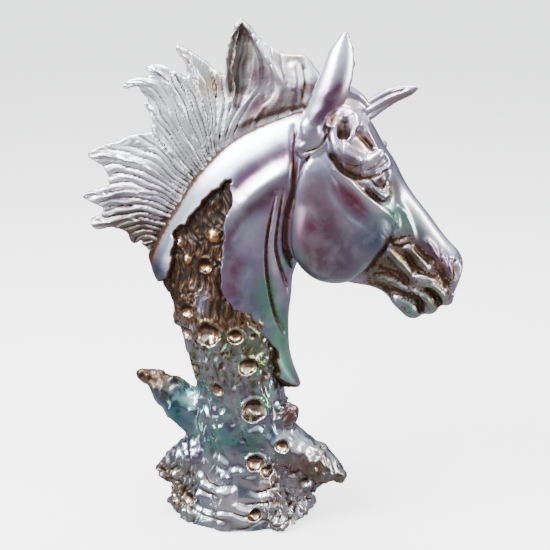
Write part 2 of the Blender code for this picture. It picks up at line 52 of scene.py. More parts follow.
TURNED = math.radians(8)
RAISED = math.radians(17)
LENS = 76.5
SENSOR = 36
ROOM_GLOW = 1.65
TABLE_REACH = 14.0        # metres from the middle of the table to its edges, which stay out of sight
TABLE_WHITE = "#fafaf8"
TABLE_GLOW = 1.4


def linear(code):
    """An sRGB hex colour as linear red, green, blue and alpha."""
    values = [int(code[k:k + 2], 16) / 255 for k in (1, 3, 5)]
    return [v / 12.92 if v <= 0.04045 else ((v + 0.055) / 1.055) ** 2.4 for v in values] + [1.0]


def add(tree, kind, inputs=(), **settings):
    """A node with its settings, and with its inputs set or linked."""
    made = tree.nodes.new(kind)
    for name, value in settings.items():
        setattr(made, name, value)
    for socket, value in dict(inputs).items():
        if isinstance(value, bpy.types.NodeSocket):
            tree.links.new(value, made.inputs[socket])
        else:
            made.inputs[socket].default_value = value
    return made


def mapped(tree, value, low=0.0, high=1.0, to_low=0.0, to_high=1.0, **settings):
    """The value, with the span from low to high stretched over another span."""
    spans = {0: value, 1: low, 2: high, 3: to_low, 4: to_high}
    return add(tree, "ShaderNodeMapRange", spans, **settings).outputs[0]


def look(thing, at):
    """Turns a camera or light towards a point."""
    thing.rotation_euler = (Vector(at) - thing.location).to_track_quat("-Z", "Y").to_euler()


lens = bpy.data.cameras.new("camera")
lens.lens = LENS
lens.sensor_width = SENSOR
camera = bpy.data.objects.new("camera", lens)
back = Vector((
    math.sin(TURNED) * math.cos(RAISED),
    -math.cos(TURNED) * math.cos(RAISED),
    math.sin(RAISED),
))
camera.location = AIM + AWAY * back
look(camera, AIM)
bpy.context.scene.collection.objects.link(camera)
bpy.context.scene.camera = camera

# name: place, width, height, power, colour
LIGHTS = {
    "window": ((-0.75, -0.55, 1.05), 0.80, 0.80, 48, "#fbfcff"),
    "overhead": ((0.05, 0.15, 1.30), 0.50, 1.00, 28, "#ffffff"),
    "right_card": ((1.15, -0.35, 0.55), 0.35, 0.90, 16, "#fffaf2"),
    "low_card": ((-1.00, -0.75, 0.20), 0.25, 0.60, 2.5, "#f4f8ff"),
}
for name, (place, width, height, power, colour) in LIGHTS.items():
    light = bpy.data.lights.new(name, "AREA")
    light.shape = "RECTANGLE"
    light.size = width
    light.size_y = height
    light.energy = power
    light.color = linear(colour)[:3]
    lamp = bpy.data.objects.new(name, light)
    lamp.location = place
    look(lamp, AIM)
    bpy.context.scene.collection.objects.link(lamp)

world = bpy.data.worlds.new("room")
world.use_nodes = True
bpy.context.scene.world = world
room = world.node_tree
room.nodes.clear()
way = add(room, "ShaderNodeTexCoord")
apart = add(room, "ShaderNodeSeparateXYZ", {0: way.outputs["Generated"]})
height_share = mapped(room, apart.outputs["Z"], -0.2, 1.0)
walls = add(room, "ShaderNodeValToRGB", {0: height_share})
# Share of the height of the room, and the colour of its walls there
WALLS = (
    (0.0, "#8e898d"), (0.12, "#737076"), (0.2, "#4a484f"), (0.34, "#5d606a"), (0.54, "#c6cfda"),
    (1.0, "#ffffff"),
)
ramp = walls.color_ramp.elements
while len(ramp) < len(WALLS):
    ramp.new(0.5)
for stop, (place, colour) in zip(ramp, WALLS):
    stop.position = place
    stop.color = linear(colour)
glow = add(room, "ShaderNodeBackground", {"Color": walls.outputs[0], "Strength": ROOM_GLOW})
add(room, "ShaderNodeOutputWorld", {0: glow.outputs[0]})

floor_mesh = bpy.data.meshes.new("table_top")
corners = [(x * TABLE_REACH, y * TABLE_REACH, 0) for x, y in ((-1, -1), (1, -1), (1, 1), (-1, 1))]
floor_mesh.from_pydata(corners, [], [(0, 1, 2, 3)])
table_top = bpy.data.objects.new("table_top", floor_mesh)
bpy.context.scene.collection.objects.link(table_top)
# Matt white paint that glows a little, so that the table is as pale as the ground of the photograph
paint = bpy.data.materials.new("matt_white_paint")
paint.use_nodes = True
coat = paint.node_tree.nodes["Principled BSDF"].inputs
coat["Base Color"].default_value = linear(TABLE_WHITE)
coat["Roughness"].default_value = 0.9
coat["Emission Color"].default_value = linear(TABLE_WHITE)
coat["Emission Strength"].default_value = TABLE_GLOW
floor_mesh.materials.append(paint)
table_top.visible_glossy = False

# THE HEAD
# Skull, cheeks, eyes, muzzle and ears, modelled in clay by the sculptor and cast with the rest.
# Smooth plated planes with crisp folds round the eye, where the brown wash has stayed.
MILLIMETRE = 0.001
ZERO = (5, 0, -3)         # from the drawing's zero to the middle of the underside
SIDES = 32                # points round a section
MOST_TRIANGLES = 180000   # in one finished piece: flat places are thinned out above that
SKULL_GRAIN = 2.0         # grain at which the plain skull is fused
HEAD_GRAIN = 1.4          # and the head with all that is laid on it
HAZE = "#e3e7ef"          # paler clouds in the lacquer
WASH_AND_SHADE_ROUGHNESS = 0.4      # of the brown wash, and of the painted shade laid like it
WASH_AND_SHADE_METAL = 0.5          # how metallic it still looks where it lies thick

# Nose line x, z, jaw line x, z, then the half widths high, middle, low, from the poll to the lips
HEAD = [
    (58, 336, 34, 300, 12, 18, 18),
    (72, 333, 32, 266, 20, 26, 22),
    (84, 330, 38, 236, 27, 29, 22),
    (95, 321, 46, 216, 29, 29, 21),
    (105, 304, 58, 207, 27, 28, 19),
    (113, 293, 68, 201, 21, 25, 17),
    (121, 278, 79, 197, 15, 20, 15),
    (130, 265, 90, 195, 13, 16, 12),
    (139, 254, 101, 193, 13, 14, 11),
    (148, 242, 110, 188, 13, 14, 12),
    (156, 232, 119, 181, 14, 16, 12),
    (163, 225, 127, 176, 15, 18, 13),
    (167, 215, 138, 176, 15, 17, 13),
    (164, 200, 147, 180, 11, 13, 11),
    (160, 191, 152, 184, 4, 5, 4),
]
# Rounded forms on both sides: middle x, y, z, radii, tilt in degrees
HEAD_FORMS = [
    (78, 12, 250, 38, 17, 50, -22),
    (157, 8, 212, 7, 8, 13, 8),
    (146, 7, 200, 11, 8, 8, -30),
    (123, 4, 185.5, 14, 8, 8.5, -40),
    (129.5, 4, 177.5, 9, 7.5, 6.5, -14),
    (143.5, 4, 181, 6.5, 7, 6.5, -30),
    (156, 4, 187.5, 5.5, 7, 5.5, -40),
]
# The forms below were drawn as seen from this point: x, z on a plane that lies y in front of the middle
DRAWN_FROM = (133.8, -852.3, 461.1)
PLANES = [(98, -26), (112, -19), (125, -15), (140, -12), (160, -11)]    # x, y along the muzzle
EYE_PLANE = -25           # round the eye
EYE_PART = (248, 274)     # heights between which the one goes over into the other
# Edge of the brow and upper lid towards the viewer, which do not show over the forehead on the far side
NEAR_COILS = [
    (0.75, [(105.2, 296.4, 0.7), (104.0, 295.2, 1.2), (101.7, 292.2, 1.4), (98.0, 289.3, 0.9)]),
    (0.60, [(101, 302.5, 1.4), (105, 301.5, 2.2), (108, 298, 2.4), (109.4, 294, 2.0), (110.3, 291, 1.0)]),
]
# Cuts in the far ear, which has its own place in the drawing
FAR_EAR_STROKES = [
    (1.8, -1.8, 12, [(89.3, 327.5), (99.9, 334), (110.3, 339), (120, 341.5)]),
    (1.6, -1.4, 12, [(90, 321), (100, 326.5), (110, 332), (120, 337)]),
]
FAR_EAR_EDGE = [(90, 315.5), (97, 319), (105, 324), (112, 329.5), (119, 334), (127.5, 340.5)]
# Small forms on both sides: x, z, radii along, out and across, tilt, and how much stands out
HEAD_LUMPS = [
    (98.4, 297.5, 10.0, 5.0, 5.4, 44, 0.62),
    (104.2, 283.5, 5.6, 5.6, 5.6, 0, 0.45),
    (138.0, 206.0, 8.5, 4.0, 3.6, -12, 0.50),
    (124.0, 185.0, 12.0, 5.0, 6.0, -40, 0.30),
    (159.0, 193.5, 2.4, 2.4, 2.4, 0, 0.60),
]
# Coils of clay laid on both sides: how much stands out, then x, z and radius along them
HEAD_COILS = [
    # cheek bone, temple, brow, forelock
    (0.60, [(70, 321, 3.0), (70.5, 314, 4.0), (72.5, 307, 4.8), (77, 302, 5.2), (82, 298.5, 5.4),
            (87, 297, 5.0), (91, 296, 3.6)]),
    (0.70, [(84.5, 330, 1.8), (86, 323, 2.6), (84, 317, 2.5), (80.5, 311.8, 2.0), (77.3, 308, 1.2)]),
    (0.50, [(88, 327, 2.0), (92, 321, 3.0), (94.5, 315, 3.0), (98, 309, 2.6), (102, 303.5, 1.6)]),
    # lids, bag under the eye
    (0.80, [(111.0, 292.0, 0.9), (108.0, 291.0, 1.4), (104.8, 289.3, 1.5), (101.5, 287.6, 1.3),
            (98.0, 285.2, 0.8)]),
    (0.80, [(98.2, 281.6, 0.8), (101, 278.4, 1.2), (104.0, 275.8, 1.3), (107.0, 275.6, 1.3),
            (109.2, 278.0, 1.2), (110.6, 281.5, 0.8)]),
    (0.65, [(94.5, 281, 1.3), (99.2, 276.2, 2.2), (103, 272.2, 2.6), (107.4, 270.4, 2.6),
            (111, 273.5, 1.6)]),
    # facial crest and the edge of the nose
    (0.42, [(70, 290, 1.6), (75.3, 285, 2.4), (81, 280.8, 2.9), (86.5, 275.8, 3.0), (92.1, 270.8, 3.0),
            (97.8, 266.3, 2.8), (103.4, 261.7, 2.8), (109, 257.7, 2.6), (114, 252, 2.2),
            (117, 246, 1.4)]),
    (0.40, [(117, 264, 1.6), (121, 259, 2.2), (125, 250, 2.4), (128, 241, 2.2), (130, 235, 1.6)]),
    (0.70, [(113, 234.6, 0.7), (117, 233.3, 1.0), (121, 233.6, 1.0), (125.5, 235.2, 0.7)]),
    # rolls of the muzzle
    (0.50, [(108.5, 229, 1.6), (112.5, 226.2, 3.0), (117.5, 220.5, 3.6), (122.5, 214.6, 3.4),
            (127.0, 209, 3.0), (130.0, 202.5, 2.0)]),
    (0.48, [(122.5, 231, 1.8), (127.0, 228.2, 3.6), (132.4, 222.6, 4.0), (136.6, 217.0, 3.8),
            (140.5, 212.0, 2.6)]),
    (0.38, [(138, 236, 2.0), (143, 228, 3.4), (147, 219.5, 3.6), (150.5, 211, 2.8)]),
    (0.60, [(99, 209.6, 1.4), (103.5, 208.6, 2.0), (109, 206.8, 2.4), (115, 204.0, 2.5),
            (121, 200.6, 2.4), (127, 197.0, 1.8)]),
    (0.55, [(104, 216.5, 1.2), (109.5, 215.8, 1.8), (115, 212.6, 1.8), (120.5, 208.0, 1.6)]),
    # lips, chin and mouth
    (0.65, [(130.5, 197.0, 1.4), (134.5, 194.2, 1.9), (139.3, 190.3, 2.3), (143.2, 186.2, 2.3),
            (146.6, 181.8, 1.8)]),
    (0.65, [(134, 201.2, 1.4), (138.5, 201.0, 1.9), (144.6, 200.0, 2.2), (150.2, 196.4, 2.3),
            (153.6, 191.2, 2.1), (155.4, 186.6, 1.4)]),
    # nostril
    (0.55, [(150.5, 229, 1.4), (153.5, 222, 2.2), (156, 215.4, 2.5), (158.6, 208.5, 2.4),
            (160.4, 202, 1.6)]),
    (0.60, [(161, 222, 1.2), (163.4, 216, 1.8), (163.4, 209, 1.8), (162, 203, 1.2)]),
    # two folds at the foot of the ear
    (0.50, [(43, 315, 3.0), (46, 308, 4.0), (52, 305, 4.4), (58.5, 307, 4.0), (63, 311.5, 3.0)]),
    (0.40, [(44, 303, 2.0), (48, 299.5, 3.0), (54, 301, 3.4), (60, 305, 3.0), (65, 310, 2.0)]),
]
FAR_DEEPER = 4.0          # how much deeper the same forms lie on the far side
# Rounded folds at the foot of the near ear: middle x, y, z, radii, tilt
EAR_FOLDS = [(53.5, -24, 317, 9, 7, 11, 12), (50, -23, 306, 9, 6, 5, 18), (60, -22, 312, 5, 5, 8, 25)]
# Between the ears: a pad, in the same measures, and a coil of x, y, z and radius
POLL_PAD = (76, 6, 331, 15, 9, 7, -15)
POLL_COIL = [(58, 4, 340, 7), (72, 5, 342, 5.5), (84, 6, 338, 4), (93, 7, 330, 2.5)]
# Edge of the round cheek, from the foot of the ear down its back and along the jaw to the muzzle
CHEEK_EDGE = [
    (58, 300), (48, 292), (42, 276), (39, 256), (38.5, 238), (41, 221), (49, 208), (64, 203.5), (80, 204),
    (90, 211), (98, 218), (106, 229), (111, 236), (116, 238),
]
# Fine upright lines of wash on the lower cheek: middle x, z and how far they reach along and up
BRUSHED = (64, 219, 14, 11)
CHEEK_RISE = 3.4          # how far the cheek swells up along its edge
CHEEK_GROOVE = 2.4        # and how deep the groove outside it is
BEYOND_CHEEK = [(200, 238), (200, 420), (58, 420)]      # closes that edge round the rest of the head
# Cuts of the modelling tool on both sides: half width, height (below zero is cut), least |y|, then x, z
HEAD_STROKES = [
    # temple, forehead and cheek
    (3.2, -5.5, 8, [(77.7, 329), (77.4, 323), (77.0, 317), (77.0, 311.5)]),
    (2.2, -2.6, 6, [(87.5, 321), (89, 315.5), (92.6, 311.7), (96.3, 307.7), (99.5, 304.3)]),
    (2.2, -2.4, 10, [(66, 302), (69.1, 298.3), (72.8, 293.9), (77, 289.6), (81.7, 286.7), (86.5, 285),
                     (92, 284)]),
    (3.4, 0.9, 12, [(60.4, 298), (68.8, 281.6), (72.3, 268.3), (79.1, 253.3), (89.2, 246.8),
                    (95.9, 241.9)]),
    (3.6, -0.8, 12, [(66, 292), (78, 278), (88, 266), (97, 257)]),
    # under the lower lid and the end of the crest
    (1.6, -1.8, 10, [(92.8, 276.5), (96.6, 272.9), (100.3, 269.8), (104.1, 266.6), (107.5, 265.4),
                     (111, 268.4)]),
    (2.4, -1.3, 7, [(110, 238), (115, 237), (119, 238), (124, 239)]),
    # furrows between the rolls of the muzzle, and the notch above the nostril
    (2.6, -1.1, 6, [(103, 219), (108.6, 214.4), (116.4, 211.6), (123, 206.9), (126.7, 202)]),
    (2.6, -1.1, 6, [(123.5, 226.7), (127.2, 220), (130.9, 214), (138, 210.7)]),
    (2.6, -1.0, 6, [(130.3, 232), (134, 226.8), (138.8, 222.7), (145, 218)]),
    (3.4, -1.2, 5, [(142, 223.5), (148.4, 217.6), (151.7, 208.5), (155, 199.5)]),
    (2.0, -3.0, 0, [(140, 196.3), (143.4, 194.6), (147.8, 190.3), (151, 182.9), (152, 179)]),
    (1.8, -2.8, 0, [(133.4, 191.4), (135.7, 183.4), (137.6, 176), (138, 172)]),
    (2.4, -1.2, 3, [(121, 184), (125, 181)]),
    (1.4, -1.8, 0, [(156, 221.5), (160, 220.5), (166, 221.5)]),
]
# Folds where the wash has run in: half width, strength, least |y|, then x, z
HEAD_FOLDS = [
    (1.5, 0.95, 10, [(66, 302), (69.1, 298.3), (72.8, 293.7), (77, 289.2), (81.7, 286.5), (86.3, 284.3),
                     (91.9, 283.3), (97.3, 284.4), (100.1, 285.6)]),
    (0.9, 1.1, 8, [(97.1, 283.8), (100.7, 286.2), (104.4, 287.3), (106.6, 289.2), (109.8, 290.2),
                   (110.7, 291.6)]),
    (0.8, 1.0, 8, [(110.5, 289.3), (110.1, 285.6), (108.7, 281.3), (106.9, 277.9), (105.1, 276.5)]),
    (0.7, 1.0, 8, [(97.6, 283.1), (100.0, 279.8), (102.8, 277.6), (105.2, 276.7)]),
    (0.7, 0.6, 8, [(101.0, 277.5), (102.9, 275.2), (107.1, 273.9), (108.9, 275.9), (110.6, 279.2)]),
    (1.2, 0.5, 8, [(92.8, 276.5), (96.6, 272.9), (100.3, 270.2), (104.1, 267.4), (107.3, 266.1),
                   (110.5, 268.6), (112.3, 271.0)]),
    (1.2, 0.5, 10, [(85.4, 284.3), (87.8, 279.6), (90.6, 276.0), (94.0, 271.8), (96.3, 270.0)]),
    (0.7, 0.7, 8, [(93.3, 288.3), (97.0, 290.3), (99.7, 291.8), (102.3, 295.1), (105.0, 298.0),
                   (106.3, 299.9)]),
    (0.6, 0.7, 8, [(99.7, 286.9), (102.4, 290.3), (105.1, 292.7), (107.8, 295.6), (108.6, 297.4)]),
    (0.5, 0.5, 8, [(94.9, 300.5), (97.1, 302.4), (98.9, 303.4)]),
    (1.5, 0.3, 6, [(87.4, 320.1), (88.8, 315.5), (92.6, 311.9), (96.3, 307.9), (99.2, 304.7)]),
    (1.8, 0.5, 8, [(74.4, 324.7), (75.2, 319.6), (76.4, 314.9)]),
    (0.8, 0.6, 8, [(82.3, 317.0), (80.5, 313.3), (76.9, 308.1), (76.8, 302.1)]),
    (0.8, 0.3, 8, [(90.2, 295.6), (89.4, 290.9), (88.6, 287.2)]),
    # foot of the ear
    (1.4, 0.9, 10, [(43, 304), (50, 301.5), (58, 304.5), (63, 309), (65.5, 316), (67.5, 323), (72, 331)]),
    (0.9, 0.9, 10, [(42.8, 287.7), (48.6, 293.8), (53.5, 298.9)]),
    # back and lower edge of the cheek
    (1.0, 0.6, 8, [(48.3, 293.7), (41.3, 277.3), (37.8, 255.8), (37.6, 238.5), (40.2, 220.1),
                   (48.4, 206.6), (64.3, 201.8), (79.9, 202.4), (90.8, 208.8)]),
    (1.3, 0.9, 8, [(90.8, 209.8), (99.0, 217.4), (104.9, 224.8), (108.3, 230.8), (112.0, 236.6)]),
    # muzzle
    (1.4, 0.9, 7, [(111.6, 236.6), (114.6, 233.2), (118.7, 231.6), (121.6, 232.1), (126.2, 234.2)]),
    (1.2, 0.8, 6, [(122.5, 227.5), (126.5, 220.5), (130.5, 214.5), (136.9, 210.6), (141.7, 208.3),
                   (146.5, 206.1)]),
    (1.2, 0.7, 6, [(130.3, 232.2), (134, 226.8), (138.8, 222.7), (145.0, 218.0), (148.7, 211.6),
                   (151.8, 204.8)]),
    (1.4, 0.7, 6, [(104.5, 218), (108.6, 214.4), (116.4, 211.6), (123, 206.9), (126.7, 202.1)]),
    (0.9, 0.7, 6, [(101.5, 211.9), (107.4, 211.5), (113.4, 209.7), (119.4, 205.7), (124.2, 202.6),
                   (127.3, 199.3)]),
    (1.6, 0.8, 5, [(104, 203.5), (110.7, 198.9), (116.7, 196.3), (122.7, 194.2), (130.5, 191),
                   (136.6, 187), (139.2, 180)]),
    (1.4, 1.2, 0, [(139, 196.8), (142.1, 196), (146.4, 192.4), (149.5, 187.6), (151.6, 181.5)]),
    (1.1, 0.9, 0, [(133.8, 190), (135.6, 183.6), (137.2, 177.5)]),
    (1.3, 0.9, 2, [(161.6, 224.5), (160.6, 218), (160.4, 211), (160.5, 204)]),
]
FOLD_DEPTH = 1.1          # cut of a fold of strength 1
# Broad stains of wash without a cut
HEAD_STAINS = [
    (3.0, 0.50, 6, [(102, 219), (108.6, 214.4), (116.4, 211.6), (123, 206.9), (126.7, 202)]),
    (3.2, 0.60, 7, [(108, 238), (116.2, 239), (124.3, 241), (129, 238)]),
    (2.6, 0.50, 6, [(122, 228), (127.2, 220), (130.9, 214), (138, 210.7)]),
    (2.6, 0.45, 6, [(129, 233), (134, 226.8), (138.8, 222.7), (145, 218)]),
    (4.5, 0.60, 5, [(142, 222), (148.4, 216), (152, 208), (155, 199), (158, 196)]),
    (4.2, 0.50, 4, [(108, 201), (113.7, 196), (122.7, 193.2), (130.5, 191), (136.6, 187), (139, 180)]),
    (3.4, 0.80, 3, [(140, 196.4), (145.8, 193.6), (149.6, 188), (151.5, 185)]),
    (5.0, 0.40, 6, [(93, 206), (101.7, 204.8), (107.8, 202), (113.7, 199.7)]),
    (2.6, 0.40, 2, [(124, 183), (127, 180)]),
    (2.4, 0.60, 8, [(102.8, 285.0), (104.6, 283.0), (106.4, 280.6)]),
    (3.0, 0.45, 8, [(77.6, 328), (77.3, 322.4), (77, 316)]),
    (2.2, 0.30, 6, [(89, 318), (92.6, 312), (97, 307)]),
    (5.0, 0.35, 8, [(88, 291), (92, 287), (98, 288)]),
    (1.6, 0.60, 8, [(72, 301), (80, 296), (86, 292)]),
    (2.2, 0.45, 8, [(67, 303), (73, 296), (80, 290), (88, 286.5), (95, 287)]),
    (2.0, 0.40, 8, [(88, 281), (93, 277), (98, 270), (104, 267)]),
    (2.6, 0.35, 8, [(66, 320), (68, 327), (73, 334), (80, 338)]),
    (2.4, 0.35, 8, [(44, 300), (48, 294), (43, 284)]),
]
# Edge of the muzzle, where the wash lies all over
MUZZLE = [
    (112, 238), (128, 241), (140, 230), (151, 218), (160, 214), (164, 204), (161, 190), (150, 178),
    (128, 170), (98, 190), (92, 208),
]
# Ears: rows of one edge x, z, other edge x, z, half thickness and y
NEAR_EAR = [
    (75, 387, 78.5, 387.5, 1.5, -17), (65.5, 374, 82.5, 377, 4.5, -18.5), (60, 361, 84, 366, 6.5, -20),
    (56, 351, 83.5, 357, 7.5, -21.5), (53, 342.5, 82, 349.5, 8.0, -23), (50.5, 335, 80, 341, 8.0, -23.5),
    (47.5, 327, 75.5, 334, 8.0, -24), (44.5, 320, 70, 328, 8.0, -22), (44, 312, 64, 320, 8.0, -20),
    (46, 305, 60, 311, 6.0, -18),
]
FAR_EAR = [
    (84, 329, 88, 313, 5.5, 20), (91, 334, 95, 318, 6.0, 23), (95.5, 337, 99.5, 321, 6.0, 25),
    (101, 340, 105, 325.5, 5.5, 26), (107, 342, 112, 330, 5.0, 27), (113, 343.3, 119, 333.5, 4.0, 28),
    (121, 344.2, 125, 337, 3.0, 28), (128, 344.2, 129, 341.2, 1.3, 28),
]


def smooth_line(points, count):
    """Count samples of a smooth line through the points."""
    given = np.array(points, float)
    padded = np.vstack([2 * given[0] - given[1], given, 2 * given[-1] - given[-2]])
    at = np.linspace(0, len(given) - 1, count)
    cell = np.minimum(at.astype(int), len(given) - 2)
    f = (at - cell)[:, None]
    a, b, c, d = (padded[cell + k] for k in range(4))
    return 0.5 * (2 * b + (c - a) * f + (2 * a - 5 * b + 4 * c - d) * f**2 + (3 * b - a - 3 * c + d) * f**3)


def loft(clay, rings):
    """Adds a closed skin over rings that all have the same number of points."""
    rows = [[clay.verts.new(point) for point in ring] for ring in rings]
    faces = []
    for low, high in zip(rows, rows[1:]):
        for k in range(len(low)):
            after = (k + 1) % len(low)
            faces.append(clay.faces.new((low[k], low[after], high[after], high[k])))
    faces.append(clay.faces.new(rows[0]))
    faces.append(clay.faces.new(rows[-1]))
    bmesh.ops.recalc_face_normals(clay, faces=faces)


def around(power):
    """Cosines and sines round a section: a power below 1 squares it off."""
    angles = np.linspace(0, 2 * math.pi, SIDES, endpoint=False)
    c, s = np.cos(angles), np.sin(angles)
    return np.sign(c) * np.abs(c) ** power, np.sign(s) * np.abs(s) ** power


def slab_rings(stations, power):
    """Sections that span two lines in the XZ plane, from rows of line, line and three half widths."""
    c, s = around(power)
    share = (1 - c) / 2
    rings = []
    for x0, z0, x1, z1, high, middle, low in smooth_line(stations, len(stations) * 5):
        width = np.interp(share, (0.15, 0.5, 0.85), (high, middle, low))
        rings.append(np.column_stack([x0 + (x1 - x0) * share, width * s, z0 + (z1 - z0) * share]))
    return rings


def tube_rings(points):
    """Round sections along rows of x, y, z and radius."""
    line = smooth_line(points, len(points) * 5)
    ahead = np.gradient(line[:, :3], axis=0)
    ahead /= np.linalg.norm(ahead, axis=1)[:, None]
    c, s = around(1.0)
    rings = []
    for (x, y, z, radius), along in zip(line, ahead):
        side = np.cross(along, (0, 1, 0))
        side /= np.linalg.norm(side)
        across = np.cross(side, along)
        rings.append(np.array((x, y, z)) + radius * (np.outer(c, side) + np.outer(s, across)))
    return rings


def ball(clay, x, y, z, long, wide, high, tilt=0.0):
    """Adds an egg shape, turned by tilt degrees in the XZ plane."""
    turn = Matrix.Rotation(math.radians(-tilt), 4, "Y")
    size = Matrix.Diagonal((long, wide, high, 1))
    place = Matrix.Translation((x, y, z)) @ turn @ size
    bmesh.ops.create_uvsphere(clay, u_segments=32, v_segments=20, radius=1.0, matrix=place)


def leaf(clay, stations):
    """Adds the leaf of an ear: rounded towards the viewer, hollow on the other side."""
    s = np.linspace(0, 1, 14)
    share = np.concatenate([s, s[::-1]])
    rings = []
    for x0, z0, x1, z1, thick, y in smooth_line(stations, len(stations) * 4):
        outer = y - thick * np.sin(math.pi * s) ** 0.8
        inner = y - (0.45 * thick * np.sin(math.pi * s) - 1.0)
        depth = np.concatenate([outer, inner[::-1]])
        rings.append(np.column_stack([x0 + (x1 - x0) * share, depth, z0 + (z1 - z0) * share]))
    loft(clay, rings)


def rising(values, start, span):
    """0 up to the start and 1 from the end of the span on, with a straight slope between them."""
    return np.clip((values - start) / span, 0, 1)


def bell(gap, width):
    """1 where the gap is 0, falling softly away over the width on both sides."""
    return np.exp(-((gap / width) ** 2))


def patch(flat, x, z, wide, high):
    """1 at one XZ place, falling softly away round it."""
    return np.exp(-(((flat[:, 0] - x) / wide) ** 2) - ((flat[:, 1] - z) / high) ** 2)


def tapered(along, slope, least=0.0):
    """1 along a line, falling to the least value at its two ends."""
    return np.clip(np.minimum(along, 1 - along) * slope + least, 0, 1)


def on_plane(x, z):
    """The planes on which points of the drawing lie."""
    low = np.interp(x, *np.transpose(PLANES))
    return low + (EYE_PLANE - low) * rising(z, EYE_PART[0], EYE_PART[1] - EYE_PART[0])


def on_clay(tree, x, z):
    """Where a point of the drawing falls on the viewer's side of the clay, and the normal there."""
    eye = Vector(DRAWN_FROM)
    mark = Vector((x, float(on_plane(x, z)), z))
    spot, out, _, _ = tree.ray_cast(eye, (mark - eye).normalized())
    if spot is None:
        spot, out, _, _ = tree.find_nearest(mark)
    return spot, out


def lay_coils(clay, tree, coils, both=True):
    """Adds coils on the surface, on both sides or only towards the viewer."""
    for proud, path in coils:
        rows = []
        for x, z, r in path:
            spot, out = on_clay(tree, x, z)
            rows.append((*(spot + out * r * (2 * proud - 1)), r))
        loft(clay, tube_rings(rows))
        if both:
            loft(clay, tube_rings([(x, -y - FAR_DEEPER, z, r) for x, y, z, r in rows]))


def as_drawn(points):
    """XZ places in the drawing at which points of the head are seen.

    The far side counts as the mirror image of the near one.
    """
    eye = np.array(DRAWN_FROM)
    near = points.copy()
    near[:, 1] = -np.abs(near[:, 1])
    share = (on_plane(near[:, 0], near[:, 2]) - eye[1]) / (near[:, 1] - eye[1])
    flat = eye + (near - eye) * share[:, None]
    return flat[:, [0, 2]]


def hold(mesh):
    """Positions and normals of a mesh as rows, and the pairs of vertices that its edges join."""
    points = np.empty(len(mesh.vertices) * 3)
    normals = np.empty(len(mesh.vertices) * 3)
    pairs = np.empty(len(mesh.edges) * 2, dtype=np.int32)
    mesh.vertices.foreach_get("co", points)
    mesh.vertex_normals.foreach_get("vector", normals)
    mesh.edges.foreach_get("vertices", pairs)
    return points.reshape(-1, 3), normals.reshape(-1, 3), pairs.reshape(-1, 2)


def put(mesh, points):
    """Moves the mesh's vertices to new positions."""
    mesh.vertices.foreach_set("co", points.ravel())
    mesh.update()


def relaxed(values, pairs, rounds):
    """Rows of values after each has moved some rounds halfway to the mean of its neighbours."""
    first, second = pairs.T
    size = len(values)
    count = np.bincount(first, minlength=size) + np.bincount(second, minlength=size)
    values = values.copy()
    for _ in range(rounds):
        for column in values.reshape(size, -1).T:
            total = np.bincount(first, column[second], size)
            total += np.bincount(second, column[first], size)
            column += 0.5 * (total / count - column)
    return values


def largest_part(mesh):
    """Removes the small closed bubbles that fusing leaves inside."""
    points, _, pairs = hold(mesh)
    label = np.arange(len(points))
    while True:
        lowest = np.minimum(label[pairs[:, 0]], label[pairs[:, 1]])
        before = label.copy()
        np.minimum.at(label, pairs[:, 0], lowest)
        np.minimum.at(label, pairs[:, 1], lowest)
        label = label[label]
        if (label == before).all():
            break
    names, counts = np.unique(label, return_counts=True)
    if len(names) > 1:
        shape = bmesh.new()
        shape.from_mesh(mesh)
        shape.verts.ensure_lookup_table()
        extra = [shape.verts[k] for k in np.flatnonzero(label != names[counts.argmax()])]
        bmesh.ops.delete(shape, geom=extra, context="VERTS")
        shape.to_mesh(mesh)
        shape.free()


def evaluated_mesh(thing):
    """A plain mesh of the object with its modifiers applied."""
    return bpy.data.meshes.new_from_object(thing.evaluated_get(bpy.context.evaluated_depsgraph_get()))


def fused(clay, name, grain, rounds, halvings=1):
    """One skin round all of the clay: fused at a grain, smoothed for some rounds, its faces then halved."""
    mesh = bpy.data.meshes.new(name)
    clay.to_mesh(mesh)
    clay.free()
    lump = bpy.data.objects.new(name, mesh)
    bpy.context.scene.collection.objects.link(lump)
    knead = lump.modifiers.new("knead", "REMESH")
    knead.mode = "VOXEL"
    knead.voxel_size = grain
    lump.data = evaluated_mesh(lump)
    lump.modifiers.clear()
    largest_part(lump.data)
    points, _, pairs = hold(lump.data)
    put(lump.data, relaxed(points, pairs, rounds))
    if halvings:
        finer = lump.modifiers.new("finer", "SUBSURF")
        finer.levels = halvings
        finer.render_levels = halvings
        lump.data = evaluated_mesh(lump)
        lump.modifiers.clear()
    return lump


def nearest(flat, line):
    """Distance of each XZ point to a broken line, and how far along it the nearest place is, 0 to 1."""
    best = np.full(len(flat), np.inf)
    along = np.zeros(len(flat))
    for k, (start, end) in enumerate(zip(line, line[1:])):
        span = end - start
        share = np.clip((flat - start) @ span / max(span @ span, 1e-9), 0, 1)
        gap = np.linalg.norm(flat - start - share[:, None] * span, axis=1)
        closer = gap < best
        best[closer] = gap[closer]
        along[closer] = (k + share[closer]) / (len(line) - 1)
    return best, along


def inside(flat, outline):
    """True for XZ points within a closed outline."""
    within = np.zeros(len(flat), bool)
    for start, end in zip(outline, np.roll(outline, -1, axis=0)):
        crosses = (start[1] > flat[:, 1]) != (end[1] > flat[:, 1])
        rise = end[1] - start[1]
        at = start[0] + (flat[:, 1] - start[1]) * (end[0] - start[0]) / (rise if rise else 1e-9)
        within ^= crosses & (flat[:, 0] < at)
    return within


def inset(flat, outline):
    """How far each XZ point lies inside a closed smooth outline, below zero outside."""
    loop = smooth_line(list(outline) + [outline[0]], len(outline) * 4)
    gap, _ = nearest(flat, loop)
    return np.where(inside(flat, loop), gap, -gap)


